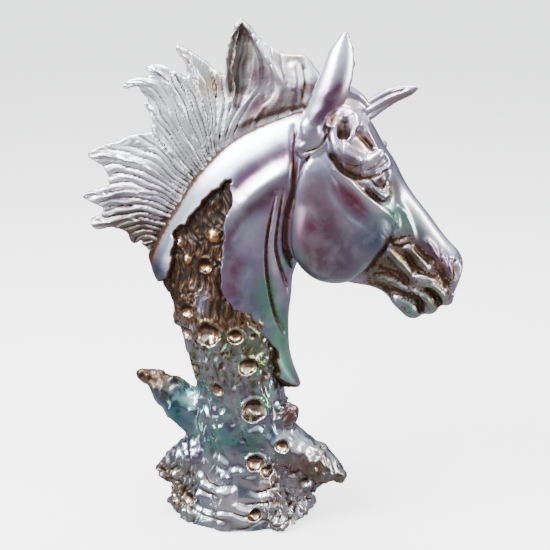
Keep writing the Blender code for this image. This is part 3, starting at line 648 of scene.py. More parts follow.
def rough(points, size, seed):
    """Smooth noise between about -1 and 1 at each point; size is its scale along X, Y and Z in mm."""
    scaled = points / np.array(size) + seed
    return np.array([noise.noise(Vector(row)) for row in scaled]) * 1.6


def strokes(points, normals, marks, flat=None):
    """How far a list of strokes lifts each point along its normal; flat is where they are drawn."""
    flat = points[:, [0, 2]] if flat is None else flat
    facing = np.clip((np.abs(normals[:, 1]) - 0.10) / 0.35, 0, 1)
    lift = np.zeros(len(points))
    for half_width, height, least, path in marks:
        line = smooth_line(path, len(path) * 4)
        low = line.min(axis=0) - 3 * half_width
        high = line.max(axis=0) + 3 * half_width
        close = (flat > low).all(axis=1) & (flat < high).all(axis=1)
        some = np.flatnonzero(close & (np.abs(points[:, 1]) > least))
        gap, along = nearest(flat[some], line)
        ends = tapered(along, 5, 0.3)
        lift[some] += height * ends * facing[some] * bell(gap, half_width)
    return lift


def moved(points, lift, mesh):
    """Pushes the points of a mesh along its normals and gives the new positions and normals."""
    _, normals, _ = hold(mesh)
    put(mesh, points + normals * lift[:, None])
    points, normals, _ = hold(mesh)
    return points, normals


def recess(points, normals, pairs, rounds):
    """How far each point lies below its smoothed surroundings."""
    return ((relaxed(points, pairs, rounds) - points) * normals).sum(axis=1)


def store(mesh, name, values, kind="FLOAT"):
    """Keeps a value for each vertex under a name that the material reads."""
    layer = mesh.attributes.new(name, kind, "POINT")
    field = "color" if kind == "FLOAT_COLOR" else "value"
    layer.data.foreach_set(field, np.ascontiguousarray(values).ravel())


def blend(colours, share, goal):
    """Moves rows of colour, each by its share, towards one colour or towards rows of colour."""
    goal = np.array(linear(goal)) if isinstance(goal, str) else goal
    colours += share[:, None] * (goal - colours)


def tinted(flat, plain, patches, bands=()):
    """Colour at XZ places: a plain colour, or rows of colour, under soft patches and bands.

    Patches are rows of x, z, radius, strength and colour.
    Bands are rows of half width, strength, colour and path.
    """
    colours = np.tile(linear(plain), (len(flat), 1)) if isinstance(plain, str) else plain
    for x, z, radius, strength, code in patches:
        gap = np.hypot(flat[:, 0] - x, flat[:, 1] - z)
        blend(colours, strength * bell(gap, radius), code)
    for half_width, strength, code, path in bands:
        gap, along = nearest(flat, smooth_line(path, len(path) * 4))
        ends = tapered(along, 6, 0.2)
        blend(colours, strength * bell(gap, half_width) * ends, code)
    return colours


def settle(lump, material):
    """Gives the finished clay its size and place in metres, thins it out and finishes it.

    Then it is set in the frame as a surface of the one casting.
    """
    points, _, _ = hold(lump.data)
    put(lump.data, (points + ZERO) * MILLIMETRE)
    lump.data.calc_loop_triangles()
    count = len(lump.data.loop_triangles)
    if count > MOST_TRIANGLES:
        thin = lump.modifiers.new("thin", "DECIMATE")
        thin.ratio = MOST_TRIANGLES / count
        lump.data = evaluated_mesh(lump)
        lump.modifiers.clear()
    lump.data.materials.clear()
    lump.data.materials.append(material)
    lump.data.shade_smooth()
    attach(lump, "root")
    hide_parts("horse_head_statuette")


def calculated(tree, operation, *values):
    """The result of one sum on plain numbers."""
    return add(tree, "ShaderNodeMath", dict(enumerate(values)), operation=operation).outputs[0]


def mixed(tree, share, first, second):
    """Two colours mixed by a share."""
    return add(tree, "ShaderNodeMix", {0: share, 6: first, 7: second}, data_type="RGBA").outputs[2]


def clouds(tree, place, size, **shape):
    """Soft noise in a material, with clouds about size mm wide."""
    sockets = {"Vector": place, "Scale": 1 / (size * MILLIMETRE), **shape}
    return add(tree, "ShaderNodeTexNoise", sockets).outputs["Fac"]


def plated(name, wash_and_shade, bronze, polish, grain, depth):
    """Silver plate over cast resin: a mirror-like skin under coloured lacquer with painted highlights,
    brown wash in its recesses, and painted shade coloured like the wash.

    The wash colour and bronze are those of the brown wash, and of the painted shade laid with it, where
    they lie thick and thin, polish is the roughness of the bare plate, grain the size of the brush marks in
    mm and depth their height in mm.
    """
    finish = bpy.data.materials.new(name)
    finish.use_nodes = True
    tree = finish.node_tree
    place = add(tree, "ShaderNodeTexCoord").outputs["Object"]
    tint = add(tree, "ShaderNodeAttribute", attribute_name="tint").outputs["Color"]
    kept = add(tree, "ShaderNodeAttribute", attribute_name="wash_and_shade").outputs["Fac"]
    haze = clouds(tree, place, 14, Detail=5.0, Distortion=0.3)
    silver = mixed(tree, mapped(tree, haze, 0.45, 0.75, 0.0, 0.35), tint, linear(HAZE))
    speck = clouds(tree, place, 4, Detail=6.0, Roughness=0.75)
    ragged = calculated(tree, "ADD", speck, -0.5)
    spread = calculated(tree, "MULTIPLY_ADD", ragged, 1.1, kept)
    cover = mapped(tree, spread, 0.05, 0.8)
    thick = mapped(tree, spread, 0.4, 1.05)
    stain = mixed(tree, thick, linear(bronze), linear(wash_and_shade))
    brush = clouds(tree, place, grain, Detail=3.0)
    marks = {"Height": brush, "Distance": depth * MILLIMETRE, "Strength": 1.0}
    skin = {
        "Base Color": mixed(tree, cover, silver, stain),
        "Roughness": mapped(tree, cover, to_low=polish, to_high=WASH_AND_SHADE_ROUGHNESS),
        "Metallic": mapped(tree, thick, to_low=1.0, to_high=WASH_AND_SHADE_METAL),
        "Normal": add(tree, "ShaderNodeBump", marks).outputs[0],
    }
    for socket, value in skin.items():
        tree.links.new(value, tree.nodes["Principled BSDF"].inputs[socket])
    return finish


clay = bmesh.new()
loft(clay, slab_rings(HEAD, 0.86))
for x, y, z, long, wide, high, tilt in HEAD_FORMS:
    ball(clay, x, y, z, long, wide, high, tilt)
    ball(clay, x, -y, z, long, wide, high, tilt)
skull = fused(clay, "skull", SKULL_GRAIN, 6, 0)
clay = bmesh.new()
clay.from_mesh(skull.data)
bpy.data.objects.remove(skull)
tree = BVHTree.FromBMesh(clay)
for x, z, long, wide, high, tilt, proud in HEAD_LUMPS:
    spot, out = on_clay(tree, x, z)
    x, y, z = spot + out * wide * (2 * proud - 1)
    ball(clay, x, y, z, long, wide, high, tilt)
    ball(clay, x, -y - FAR_DEEPER, z, long, wide, high, tilt)
lay_coils(clay, tree, HEAD_COILS)
lay_coils(clay, tree, NEAR_COILS, False)
leaf(clay, NEAR_EAR)
leaf(clay, FAR_EAR)
for x, y, z, long, wide, high, tilt in EAR_FOLDS + [POLL_PAD]:
    ball(clay, x, y, z, long, wide, high, tilt)
loft(clay, tube_rings(POLL_COIL))
head = fused(clay, "head", HEAD_GRAIN, 2)

points, normals, pairs = hold(head.data)
flat = as_drawn(points)
line = smooth_line(CHEEK_EDGE, len(CHEEK_EDGE) * 4)
gap, along = nearest(flat, line)
cheek = np.where(inside(flat, np.vstack([line, BEYOND_CHEEK])), gap, -gap)
ends = tapered(along, 10) * np.clip(np.abs(points[:, 1]) / 6 - 1, 0, 1)
rise = CHEEK_RISE * ends / (1 + np.exp(1.5 - cheek)) * bell(np.maximum(cheek, 0), 26)
groove = CHEEK_GROOVE * ends * bell(cheek + 1.2, 1.6)
inner = rising(cheek, 5, 6)
rise += inner * (relaxed(rise, pairs, 90) - rise)
points, normals = moved(points, rise - groove, head.data)
points, normals = moved(points, strokes(points, normals, HEAD_STROKES, flat), head.data)
far_ear = (points[:, 1] > 12) & (points[:, 0] > 84) & (points[:, 2] > 310)
points, normals = moved(points, strokes(points, normals, FAR_EAR_STROKES) * far_ear, head.data)
uneven = rough(points, (7, 7, 7), 19.0)
folds = strokes(points, normals, HEAD_FOLDS, flat) * np.clip(0.95 + 0.35 * uneven, 0.5, 1.2)
points, normals = moved(points, -FOLD_DEPTH * folds, head.data)
fine = recess(points, normals, pairs, 12)
muzzle = rising(inset(flat, MUZZLE), 0, 4)
speckle = rough(points, (2.2, 2.2, 2.2), 13.0)
brushed = rough(points, (1.3, 9, 11), 17.0) * patch(flat, *BRUSHED)
fleck = rough(points, (1.3, 1.3, 1.3), 29.0)
stains = strokes(points, normals, HEAD_STAINS, flat) * np.clip(0.75 + 0.4 * speckle + 0.4 * fleck, 0.1, 1.5)
hollow = np.clip(recess(points, normals, pairs, 70) / 1.6 + 0.1, -0.3, 0.7)
wash_and_shade = np.clip(fine / 0.6 - 0.4, 0, 0.8) + 0.85 * folds + 0.9 * stains
wash_and_shade += muzzle * (hollow + 0.32 + 0.25 * speckle)
wash_and_shade += 0.55 * np.clip(brushed, 0, 1) + 0.35 * muzzle * fleck
ear_gap, _ = nearest(points[:, [0, 2]], smooth_line(FAR_EAR_EDGE, 24))
wash_and_shade += 0.5 * far_ear * bell(ear_gap, 2.4)
store(head.data, "wash_and_shade", np.clip(wash_and_shade, 0, 1))
# Lacquer in patches, with painted highlights and shade among them where marked: x, z, radius, strength and
# colour
HEAD_TINTS = [
    (62, 246, 24, 0.9, "#7c4a60"),
    (76, 222, 20, 0.85, "#665a68"),
    (57, 222, 10, 0.6, "#6a4a3c"),
    (100, 240, 15, 0.9, "#50647a"),
    (86, 268, 9, 0.8, "#8c3c50"),
    # painted highlights on the back rim of the cheek, in this row and the next
    (54, 296, 8, 0.8, "#e6eef8"),
    (42, 256, 6, 0.95, "#e6f2fa"),
    (43, 224, 8, 0.8, "#8fc8b4"),
    (60, 206, 7, 0.7, "#86b6a2"),
    (112, 260, 10, 0.9, "#7cc0ae"),
    (122, 252, 9, 0.9, "#69b0a0"),
    (128, 247, 7, 0.7, "#8cc4c0"),
    (113, 276, 6, 0.8, "#a8824c"),
    (134, 236, 9, 0.7, "#8f9c9c"),
    (128, 222, 12, 0.9, "#645f40"),
    (112, 216, 12, 0.9, "#646a4c"),
    (108, 206, 12, 0.85, "#5c6a54"),
    (150, 212, 8, 0.8, "#6a5448"),
    # painted highlight on the muzzle
    (139, 206, 6, 0.7, "#e6e0e6"),
    (145, 192, 12, 0.8, "#7f9a7a"),
    (128, 182, 10, 0.85, "#74b09c"),
    (92, 309, 8, 0.9, "#ecc4b4"),
    (83, 294, 9, 0.8, "#7e5e80"),
    (84, 288, 6, 0.8, "#7a7a50"),
    (104.2, 283.5, 5.2, 0.95, "#5c3226"),
    # painted highlight on the brow
    (98, 298, 7, 0.9, "#fdf6fa"),
    (101, 273, 7, 0.9, "#606864"),
    (136, 251, 9, 0.8, "#94a4a4"),
    # painted shade in the temple hollow
    (77, 321, 7, 0.9, "#5c3c48"),
    # painted highlight at the tip of the near ear
    (74, 374, 14, 0.9, "#ffffff"),
    (66, 343, 7, 0.8, "#7a4468"),
    (83, 322, 5, 0.6, "#c8b4cc"),
    (112, 333, 12, 0.6, "#b59a8e"),
    (70, 326, 5, 0.7, "#d8b088"),
    (79, 337, 6, 0.6, "#e2bc94"),
    (48, 306, 6, 0.6, "#8f90a2"),
]
# Lacquer in bands, with painted highlights and shade among them where marked: half width, strength, colour,
# then x, z
HEAD_BANDS = [
    # painted highlight along the facial crest
    (3.0, 0.8, "#eeecf8", [(75, 285), (86, 276), (98, 266), (109, 257.5)]),
    (1.6, 0.6, "#d09a68", [(78, 287), (86, 281), (93, 274), (99, 269)]),
    # painted highlight along the ridge across the cheek
    (2.2, 0.6, "#c4cee4", [(60, 300), (64, 286), (67, 275), (71, 267), (77, 260), (83, 254), (89, 249.5),
                           (95, 245.5)]),
    (5.0, 0.75, "#8a3e50", [(71, 280), (79, 272), (87, 263.5), (95, 254)]),
    (9.0, 0.5, "#84465c", [(63, 286), (57, 270), (53, 256), (53, 240), (56, 224)]),
    # painted highlight along the back rim of the cheek
    (2.4, 0.85, "#dcf0f6", [(50, 291), (44, 276), (41, 258), (41, 240), (43, 224)]),
    (1.8, 0.8, "#a4d8c4", [(43, 221), (54, 208), (73, 206), (88, 212), (98, 223)]),
    # painted highlight along the forelock
    (2.6, 0.7, "#e9e6f6", [(84.5, 330), (86, 323), (83.5, 316), (79, 310)]),
    # nose: a painted highlight in white along the top, plum as painted shade on its side
    (4.0, 0.85, "#f2f0fa", [(112, 282), (126, 264), (140, 246), (152, 234), (158, 226)]),
    (6.0, 0.9, "#644258", [(134, 236), (145, 226), (152, 219), (155, 209)]),
    (2.4, 0.6, "#9fb09a", [(112, 256), (121, 249), (127, 240)]),
    # rolls of the muzzle
    (2.4, 0.8, "#7c8468", [(113, 231), (119, 222.5), (124, 214.5), (128, 205.5), (131, 199)]),
    (2.0, 0.8, "#74704c", [(124.5, 228), (129.4, 223.6), (134.3, 217.6), (138, 213)]),
    (1.8, 0.8, "#8ca48c", [(102.7, 208.5), (110.6, 204), (118.4, 200.5), (125.6, 197.7), (129, 198.5)]),
    (1.6, 0.8, "#a8c4ac", [(135, 194.3), (138.5, 198.2), (143.2, 199.7), (148, 197.4), (152.3, 192.6),
                           (155, 187)]),
    (1.8, 0.8, "#94b498", [(135.2, 191.5), (140.6, 188.6), (146, 184.4), (149.3, 179.5)]),
    (2.0, 0.6, "#d8a478", [(112.7, 234.8), (116.3, 233), (122, 233.9), (126.7, 235.3)]),
    (2.4, 0.6, "#dcb090", [(138, 210), (143, 208), (148, 204), (151, 199)]),
    # near ear: plum darkened as painted shade down its right side, and a painted highlight down its left
    (6.0, 0.85, "#7a4468", [(74, 356), (72, 345), (66, 334), (60, 327), (57, 319)]),
    (4.5, 0.8, "#dfe8f6", [(56, 348), (53, 337), (50, 322), (50, 314)]),
]
store(head.data, "tint", tinted(flat, "#c5bfd8", HEAD_TINTS, HEAD_BANDS), "FLOAT_COLOR")
# Silver plate under plum and green lacquer with painted highlights and shade, and dark brown wash in its
# folds
settle(head, plated("silver_plate_on_smooth_planes", "#22130b", "#6d4b2f", 0.3, 3.0, 0.05))

# THE NECK
# A smooth skin from the poll to a ragged torn edge, with the arched crest along its top.
# It stands about 5 mm proud of the bark below it and falls to a point down the front of the trunk.
SKIN_STEP = 11.0          # how far the neck sinks below the torn edge, out of sight in the trunk
FLAP_STEP = 10.0          # and how much further back it keeps behind the tip of the flap
FRAY = 1.2                # how far the torn edge strays from its outline
NECK_GRAIN = 1.9          # grain at which the plain neck is fused, and then the torn one
TORN_GRAIN = 0.9
ROOT_OUT = 7.0            # distance of the comb's face from the middle, where it leaves the crest
# Crest line x, z, throat line x, z, then the half widths high, middle, low, from the poll down
NECK = [
    (50, 331, 66, 300, 12, 17, 16),
    (40, 329.5, 58, 262, 17, 24, 22),
    (14.5, 318, 48, 232, 20, 27, 23),
    (-10, 303.5, 42, 212, 21, 28, 23),
    (-33, 280, 38, 200, 22, 30, 25),
    (-50.5, 255, 37, 185, 22, 32, 27),
    (-65, 229.5, 35, 168, 22, 33, 28),
    (-74, 207, 35, 152, 22, 33, 28),
    (-66, 186, 36, 138, 20, 32, 27),
    (-55, 168, 39, 126, 22, 30, 25),
    (-46, 150, 44.5, 113, 20, 27, 19),
    (-40, 138, 47.5, 103, 18, 24, 14),
]
# Round ridge along the crest: x, y, z and radius
CREST = [
    (46, 0, 324, 8.5), (16, 0, 311.5, 9), (-7.5, 0, 297.5, 9), (-29.5, 0, 275, 9), (-46.5, 0, 251, 9),
    (-60.5, 0, 227, 9.5), (-68, 0, 207, 9.5),
]
# Torn edge of the skin, from behind the neck round the window of bark and down the flap at the throat
TORN_EDGE = [
    (-90, 193), (-66, 193), (-61, 196), (-57, 200), (-55, 206), (-53, 213), (-54, 219), (-51, 227),
    (-53, 233), (-49, 239), (-46, 241), (-44, 240), (-42, 242), (-40, 247), (-37, 249), (-34, 253),
    (-30, 257), (-29, 261), (-25, 264), (-21, 268), (-16, 271), (-11, 276), (-6, 278), (-8, 272),
    (-5, 266), (-5, 260), (-9, 254), (-10, 249), (-12, 243), (-10, 236), (-13, 228), (-12, 222),
    (-14, 214), (-13, 206), (-13, 198), (-11, 192), (-9, 187), (-5, 184), (-4, 180), (1, 178), (5, 175),
    (9, 176), (10, 169), (14, 164), (17, 158), (22, 153), (25, 147), (29, 142), (28, 134), (30, 127),
    (29, 121), (35, 116), (46, 108), (60, 99), (90, 88),
]
# Broad swells and hollows: half width, height, least |y|, then x, z
NECK_STROKES = [
    (8.0, -2.0, 12, [(42, 303), (24, 290), (6, 278), (-4, 265)]),
    (8.0, 1.4, 12, [(37, 292), (21, 279), (6, 265), (-2, 250)]),
    (8.0, -1.3, 12, [(35, 278), (21, 266), (6, 254), (-6, 235), (-8, 211)]),
    (5.5, -1.4, 12, [(-2, 219), (-4, 199), (1, 184)]),
]
# Folds of the throat, in the same measures
THROAT_STROKES = [
    (1.1, -2.8, 8, [(28, 269), (22, 237), (21, 216), (23, 195), (27, 173), (34, 154)]),
    (1.1, -2.8, 8, [(34, 273), (30, 249), (28, 228), (31, 211), (36, 190), (36, 173)]),
    (2.4, -3.6, 8, [(40, 317), (41, 300), (41, 273), (36, 250), (35, 228), (40, 212), (49, 204)]),
    (1.2, -1.8, 8, [(35, 224), (39, 212), (40, 201)]),
]
# Root line of the mane on the neck, where the wash has run in
MANE_ROOT = [
    (47, 331), (36, 329), (25, 326), (14, 322), (3, 318), (-7, 313), (-14, 309), (-21, 302), (-28, 293),
    (-35, 285), (-41, 277), (-47, 269), (-53, 259), (-59, 248), (-63, 239), (-67, 230), (-70, 221),
]


def under_edge(flat, line):
    """True for XZ points that lie below an edge which runs from left to right."""
    return inside(flat, np.vstack([line, (line[-1][0], -60), (line[0][0], -60)]))


clay = bmesh.new()
loft(clay, slab_rings(NECK, 0.9))
loft(clay, tube_rings(CREST))
neck = fused(clay, "neck", NECK_GRAIN, 12)
points, normals, pairs = hold(neck.data)
fray = np.column_stack([rough(points, (3, 9, 4), 3.0), rough(points, (4, 9, 3), 9.0)])
ragged = points[:, [0, 2]] + FRAY * fray
torn_edge = np.array(TORN_EDGE, float)
away, _ = nearest(ragged, torn_edge)
sunk = np.where(under_edge(ragged, torn_edge), np.clip(away, 0, 1), 0)
points, normals = moved(points, -SKIN_STEP * sunk, neck.data)
points[:, 0] -= FLAP_STEP * sunk * np.clip((140 - points[:, 2]) / 15, 0, 1)
put(neck.data, points)
clay = bmesh.new()
clay.from_mesh(neck.data)
bpy.data.objects.remove(neck)
neck = fused(clay, "neck", TORN_GRAIN, 1, 0)
points, normals, pairs = hold(neck.data)
points, normals = moved(points, strokes(points, normals, NECK_STROKES + THROAT_STROKES), neck.data)
flat = points[:, [0, 2]]
fine = recess(points, normals, pairs, 12)
away, _ = nearest(flat, torn_edge)
rim = np.where(under_edge(flat, torn_edge), 1.0, bell(away, 0.9))
arch = smooth_line([(x, z) for x, _, z, _ in CREST], 40)
outer = inside(flat, np.vstack([arch, (-200, 207), (-200, 420), (46, 420)]))
wide = 1.8 + 1.8 * np.clip((300 - points[:, 2]) / 60, 0, 1)
root = outer * bell(np.maximum(np.abs(points[:, 1]) - ROOT_OUT, 0), wide)
throat = np.clip(-strokes(points, normals, THROAT_STROKES) / 3.0, 0, 1)
wash_and_shade = np.clip(fine / 0.6 - 0.35, 0, 0.7) + rim + 0.9 * throat + 1.0 * root
store(neck.data, "wash_and_shade", np.clip(wash_and_shade, 0, 1))
# Lacquer in patches and in bands, as on the head, with painted highlights and shade among them where marked
NECK_TINTS = [
    (-9, 221, 8, 0.7, "#7d7a96"),
    (-46, 254, 16, 0.7, "#c4dcf2"),
    (-58, 228, 10, 0.8, "#b4cbe4"),
    # painted highlight at the foot of the swell
    (3, 246, 10, 0.95, "#d4e4f6"),
    (-4, 232, 6, 0.8, "#a8b8d0"),
    (-6, 276, 7, 0.7, "#aab4cc"),
    (7, 189, 10, 0.8, "#66788e"),
    (20, 175, 11, 0.8, "#5c8c92"),
    (36, 150, 16, 0.95, "#6caa94"),
    (32, 128, 15, 0.95, "#96dac0"),
    (24, 246, 4, 0.8, "#d8a878"),
    (-66, 204, 13, 0.95, "#465269"),
    # painted highlight at the lower end of the crest
    (-57, 214, 3, 0.6, "#e4e8f0"),
    (36, 262, 9, 0.8, "#8a5060"),
    (40, 290, 7, 0.7, "#a4788e"),
    (34, 215, 6, 0.8, "#86c4ae"),
    (4, 203, 12, 0.5, "#a8839a"),
]
NECK_BANDS = [
    # painted highlight along the crest
    (16, 0.97, "#e4f2fd", [(48, 326), (20, 320), (-3, 308), (-24, 290), (-43, 266), (-57, 241),
                           (-66, 222)]),
    # plum darkened as painted shade in the hollow
    (7.0, 0.9, "#82506a", [(42, 303), (24, 290), (6, 278), (-4, 265)]),
    # painted highlight on the swell
    (5.5, 0.9, "#f0f6fd", [(37, 292), (21, 279), (6, 265), (-2, 250)]),
    # plum darkened as painted shade in the next hollow
    (5.5, 0.85, "#74485c", [(38, 280), (21, 266), (6, 254), (-6, 235), (-9, 211)]),
    # painted highlight on a lower swell
    (6.5, 0.5, "#cdd2e6", [(21, 257), (9, 240), (3, 222)]),
    # plum darkened as painted shade in the low hollow
    (6.5, 0.8, "#8a5474", [(4, 222), (-3, 204), (-2, 188)]),
    (5.5, 0.8, "#8fa0b8", [(12, 222), (6, 204), (8, 190)]),
    (8.0, 0.9, "#6cab92", [(20, 210), (22, 190), (29, 166), (37, 142)]),
    # painted highlight on the ridge between the throat folds
    (2.0, 0.8, "#e6e2f4", [(31, 262), (26, 240), (25, 222), (28, 204)]),
]
store(neck.data, "tint", tinted(flat, "#a895ba", NECK_TINTS, NECK_BANDS), "FLOAT_COLOR")
# The same plate and lacquer with painted highlights and shade, a little glossier, with a redder wash
settle(neck, plated("silver_plate_on_the_neck", "#26140a", "#6a4230", 0.28, 3.0, 0.05))

# THE MANE
# Locks of hair blown back from the crest, cast in one with the neck as a thick comb of resin.
# Their strands are modelled on both sides and plated pale silver, with brown wash between them.
MANE_THICK = 17.0         # where it leaves the crest
TIP_SHARE = 0.30          # of that thickness at the tips
COMB_GRAIN = 1.3          # grain at which the plain comb is fused, and then the comb with its strands
MANE_GRAIN = 0.85
# Edge of the comb, from behind the near ear over the tips of the locks and back along the crest
MANE_EDGE = [
    (56, 356), (53, 359), (49, 365), (44, 368), (34, 368), (29, 369), (25, 371), (20, 375), (14, 378),
    (9, 382), (5, 387), (2, 391), (0, 394), (-3, 392), (-6, 388), (-6, 383), (-9, 381), (-8, 378),
    (-11, 375), (-9, 371), (-12, 366), (-12, 359), (-14, 350), (-16, 353), (-22, 357), (-27, 362),
    (-33, 366), (-38, 369), (-44, 372), (-48, 374), (-49, 372), (-46, 369), (-44, 365), (-41, 359),
    (-39, 353), (-41, 350), (-47, 353), (-52, 356), (-57, 358), (-63, 360), (-69, 359), (-73, 357),
    (-71, 354), (-66, 352), (-60, 350), (-65, 351), (-71, 350), (-76, 350), (-82, 349), (-86, 347),
    (-90, 344), (-91, 342), (-88, 341), (-84, 343), (-79, 344), (-76, 344), (-77, 341), (-75, 337),
    (-71, 333), (-70, 327), (-69, 320), (-68, 312), (-71, 309), (-77, 308), (-84, 307), (-91, 304),
    (-98, 301), (-106, 299), (-113, 296), (-118, 293), (-120, 290), (-118, 287), (-113, 285), (-108, 281),
    (-105, 276), (-104, 269), (-105, 264), (-112, 262), (-119, 261), (-126, 259), (-125, 256),
    (-119, 254), (-114, 251), (-109, 249), (-110, 245), (-115, 242), (-120, 238), (-119, 234),
    (-113, 232), (-104, 234), (-97, 233), (-91, 230), (-90, 225), (-87, 221), (-84, 222), (-80, 225),
    (-77, 221), (-73, 217), (-58, 212), (-50, 236), (-38, 256), (-22, 276), (-2, 294), (24, 306),
    (50, 314), (62, 334),
]
# From front to back, the way the hair runs: half width, shift along Y, then x, z from root to tip
LOCKS = {
    "forward": (6, -3, [(46, 322), (48, 344), (47, 357), (40, 366)]),
    "forward_inner": (6, 1, [(18, 316), (27, 331), (31, 344), (31, 357), (26, 368)]),
    "top_right": (6, -5, [(-4, 308), (4, 325), (15, 342), (18, 357), (14, 374)]),
    "top_middle": (6, 3, [(-12, 306), (-3, 326), (7, 343), (10, 364), (6, 382)]),
    "top_left": (6, -3, [(-16, 302), (-9, 326), (-6, 343), (-7, 362), (-4, 380), (0, 391)]),
    "second_front": (5, 3, [(-19, 299), (-19, 320), (-20, 340), (-24, 357)]),
    "second": (6, -3, [(-22, 296), (-25, 316), (-31, 340), (-38, 359), (-48, 373)]),
    "third_front": (5, 3, [(-25, 292), (-33, 316), (-42, 338), (-50, 352)]),
    "third": (6, -4, [(-28, 288), (-40, 314), (-51, 340), (-60, 353), (-72, 357)]),
    "fourth": (6, -3, [(-31, 284), (-46, 308), (-60, 332), (-75, 345), (-90, 343)]),
    "blunt_upper": (6, 2, [(-35, 279), (-51, 302), (-62, 318), (-73, 332)]),
    "blunt_lower": (5, -4, [(-38, 275), (-53, 293), (-62, 303), (-69, 314)]),
    "fifth_upper": (7, 3, [(-42, 270), (-60, 287), (-78, 297), (-100, 298)]),
    "fifth": (8, -4, [(-45, 266), (-66, 280), (-84, 288), (-104, 291), (-118, 290)]),
    "fifth_lower": (7, 3, [(-49, 259), (-68, 270), (-86, 276), (-104, 274)]),
    "sixth": (7, -3, [(-52, 253), (-72, 262), (-92, 263), (-109, 260), (-125, 258)]),
    "seventh_upper": (6, 3, [(-56, 246), (-74, 252), (-92, 252), (-107, 247)]),
    "seventh": (7, -4, [(-59, 239), (-76, 243), (-93, 242), (-107, 238), (-119, 236)]),
    "eighth": (5, 1, [(-62, 231), (-74, 233), (-84, 229), (-89, 224)]),
    "lowest": (4, -3, [(-64, 224), (-70, 225), (-76, 223), (-79, 222)]),
}
# Lock number, and how many ribbons of hair come before it
RIBBONS = [(0, 0), (2, 2.5), (4, 5), (20, 37)]
RIBBON_HEIGHT = 2.1       # from the furrow to the back of a ribbon
CALM_LOCKS = 4            # the first locks, behind the ear, lie in broad smooth folds
# Strands on each face of the other locks: how many side by side, radius, swing and length of their waves
STRANDS = {"Lanes": 3, "Radius": 1.7, "Wave": 5.0, "Wave length": 16.0}
# Outline of the scoop in the tallest lock and of the fold behind the ear, where painted shade darkens the
# plate: dark slate in the scoop, plum-brown in the fold
SCOOP = [
    (-14, 366), (-10, 381), (-4, 392), (2, 392), (9, 380), (16, 367), (20, 354), (12, 342), (3, 334),
    (-4, 326), (-12, 340),
]
FOLD = [
    (2, 326), (14, 340), (28, 345), (42, 350), (60, 352), (60, 332), (44, 328), (24, 322), (8, 314),
    (-8, 304),
]
# Cuts and ridges: the scoop of the tallest lock, the bright ridge beside it, and the folds behind the ear
MANE_STROKES = [
    (9.5, -3.6, 2, [(0, 388), (0, 377), (0, 362), (-1, 347), (-5, 332)]),
    (2.4, 3.2, 2, [(2.5, 391), (9, 381), (16, 370), (24, 358), (30, 346)]),
    (5.0, -1.2, 2, [(26, 344), (18, 338), (8, 329), (-2, 318)]),
    (4.5, 2.5, 2, [(38, 364), (41, 352), (40, 342)]),
    (3.0, -2.5, 2, [(44, 362), (46, 348), (44, 334)]),
]


def open_tree(name, sockets):
    """A geometry node tree with inputs for a mesh, for the named values and for a material."""
    tree = bpy.data.node_groups.new(name, "GeometryNodeTree")
    for label, kind in {"Geometry": "Geometry", **sockets, "Material": "Material"}.items():
        tree.interface.new_socket(label, in_out="INPUT", socket_type=f"NodeSocket{kind}")
    tree.interface.new_socket("Geometry", in_out="OUTPUT", socket_type="NodeSocketGeometry")
    return tree, add(tree, "NodeGroupInput").outputs


def finish_tree(tree, shape, material):
    """Gives the tree's shape its material and leads it out."""
    real = add(tree, "GeometryNodeRealizeInstances", {0: shape})
    dressed = add(tree, "GeometryNodeSetMaterial", {0: real.outputs[0], "Material": material})
    add(tree, "NodeGroupOutput", {0: dressed.outputs[0]})


def combined(tree, operation, first, second):
    """The result of one sum on two vectors, or on a vector and a number if it is scaled."""
    sockets = {0: first, "Scale" if operation == "SCALE" else 1: second}
    made = add(tree, "ShaderNodeVectorMath", sockets, operation=operation)
    return made.outputs["Value" if operation == "DOT_PRODUCT" else "Vector"]


def swing(tree, place, scale, amount):
    """Steps to all sides that change softly from place to place."""
    wavy = add(tree, "ShaderNodeTexNoise", {"Vector": place, "Scale": scale, "Detail": 1.0})
    centred = combined(tree, "SUBTRACT", wavy.outputs["Color"], (0.5, 0.5, 0.5))
    return combined(tree, "SCALE", centred, amount)


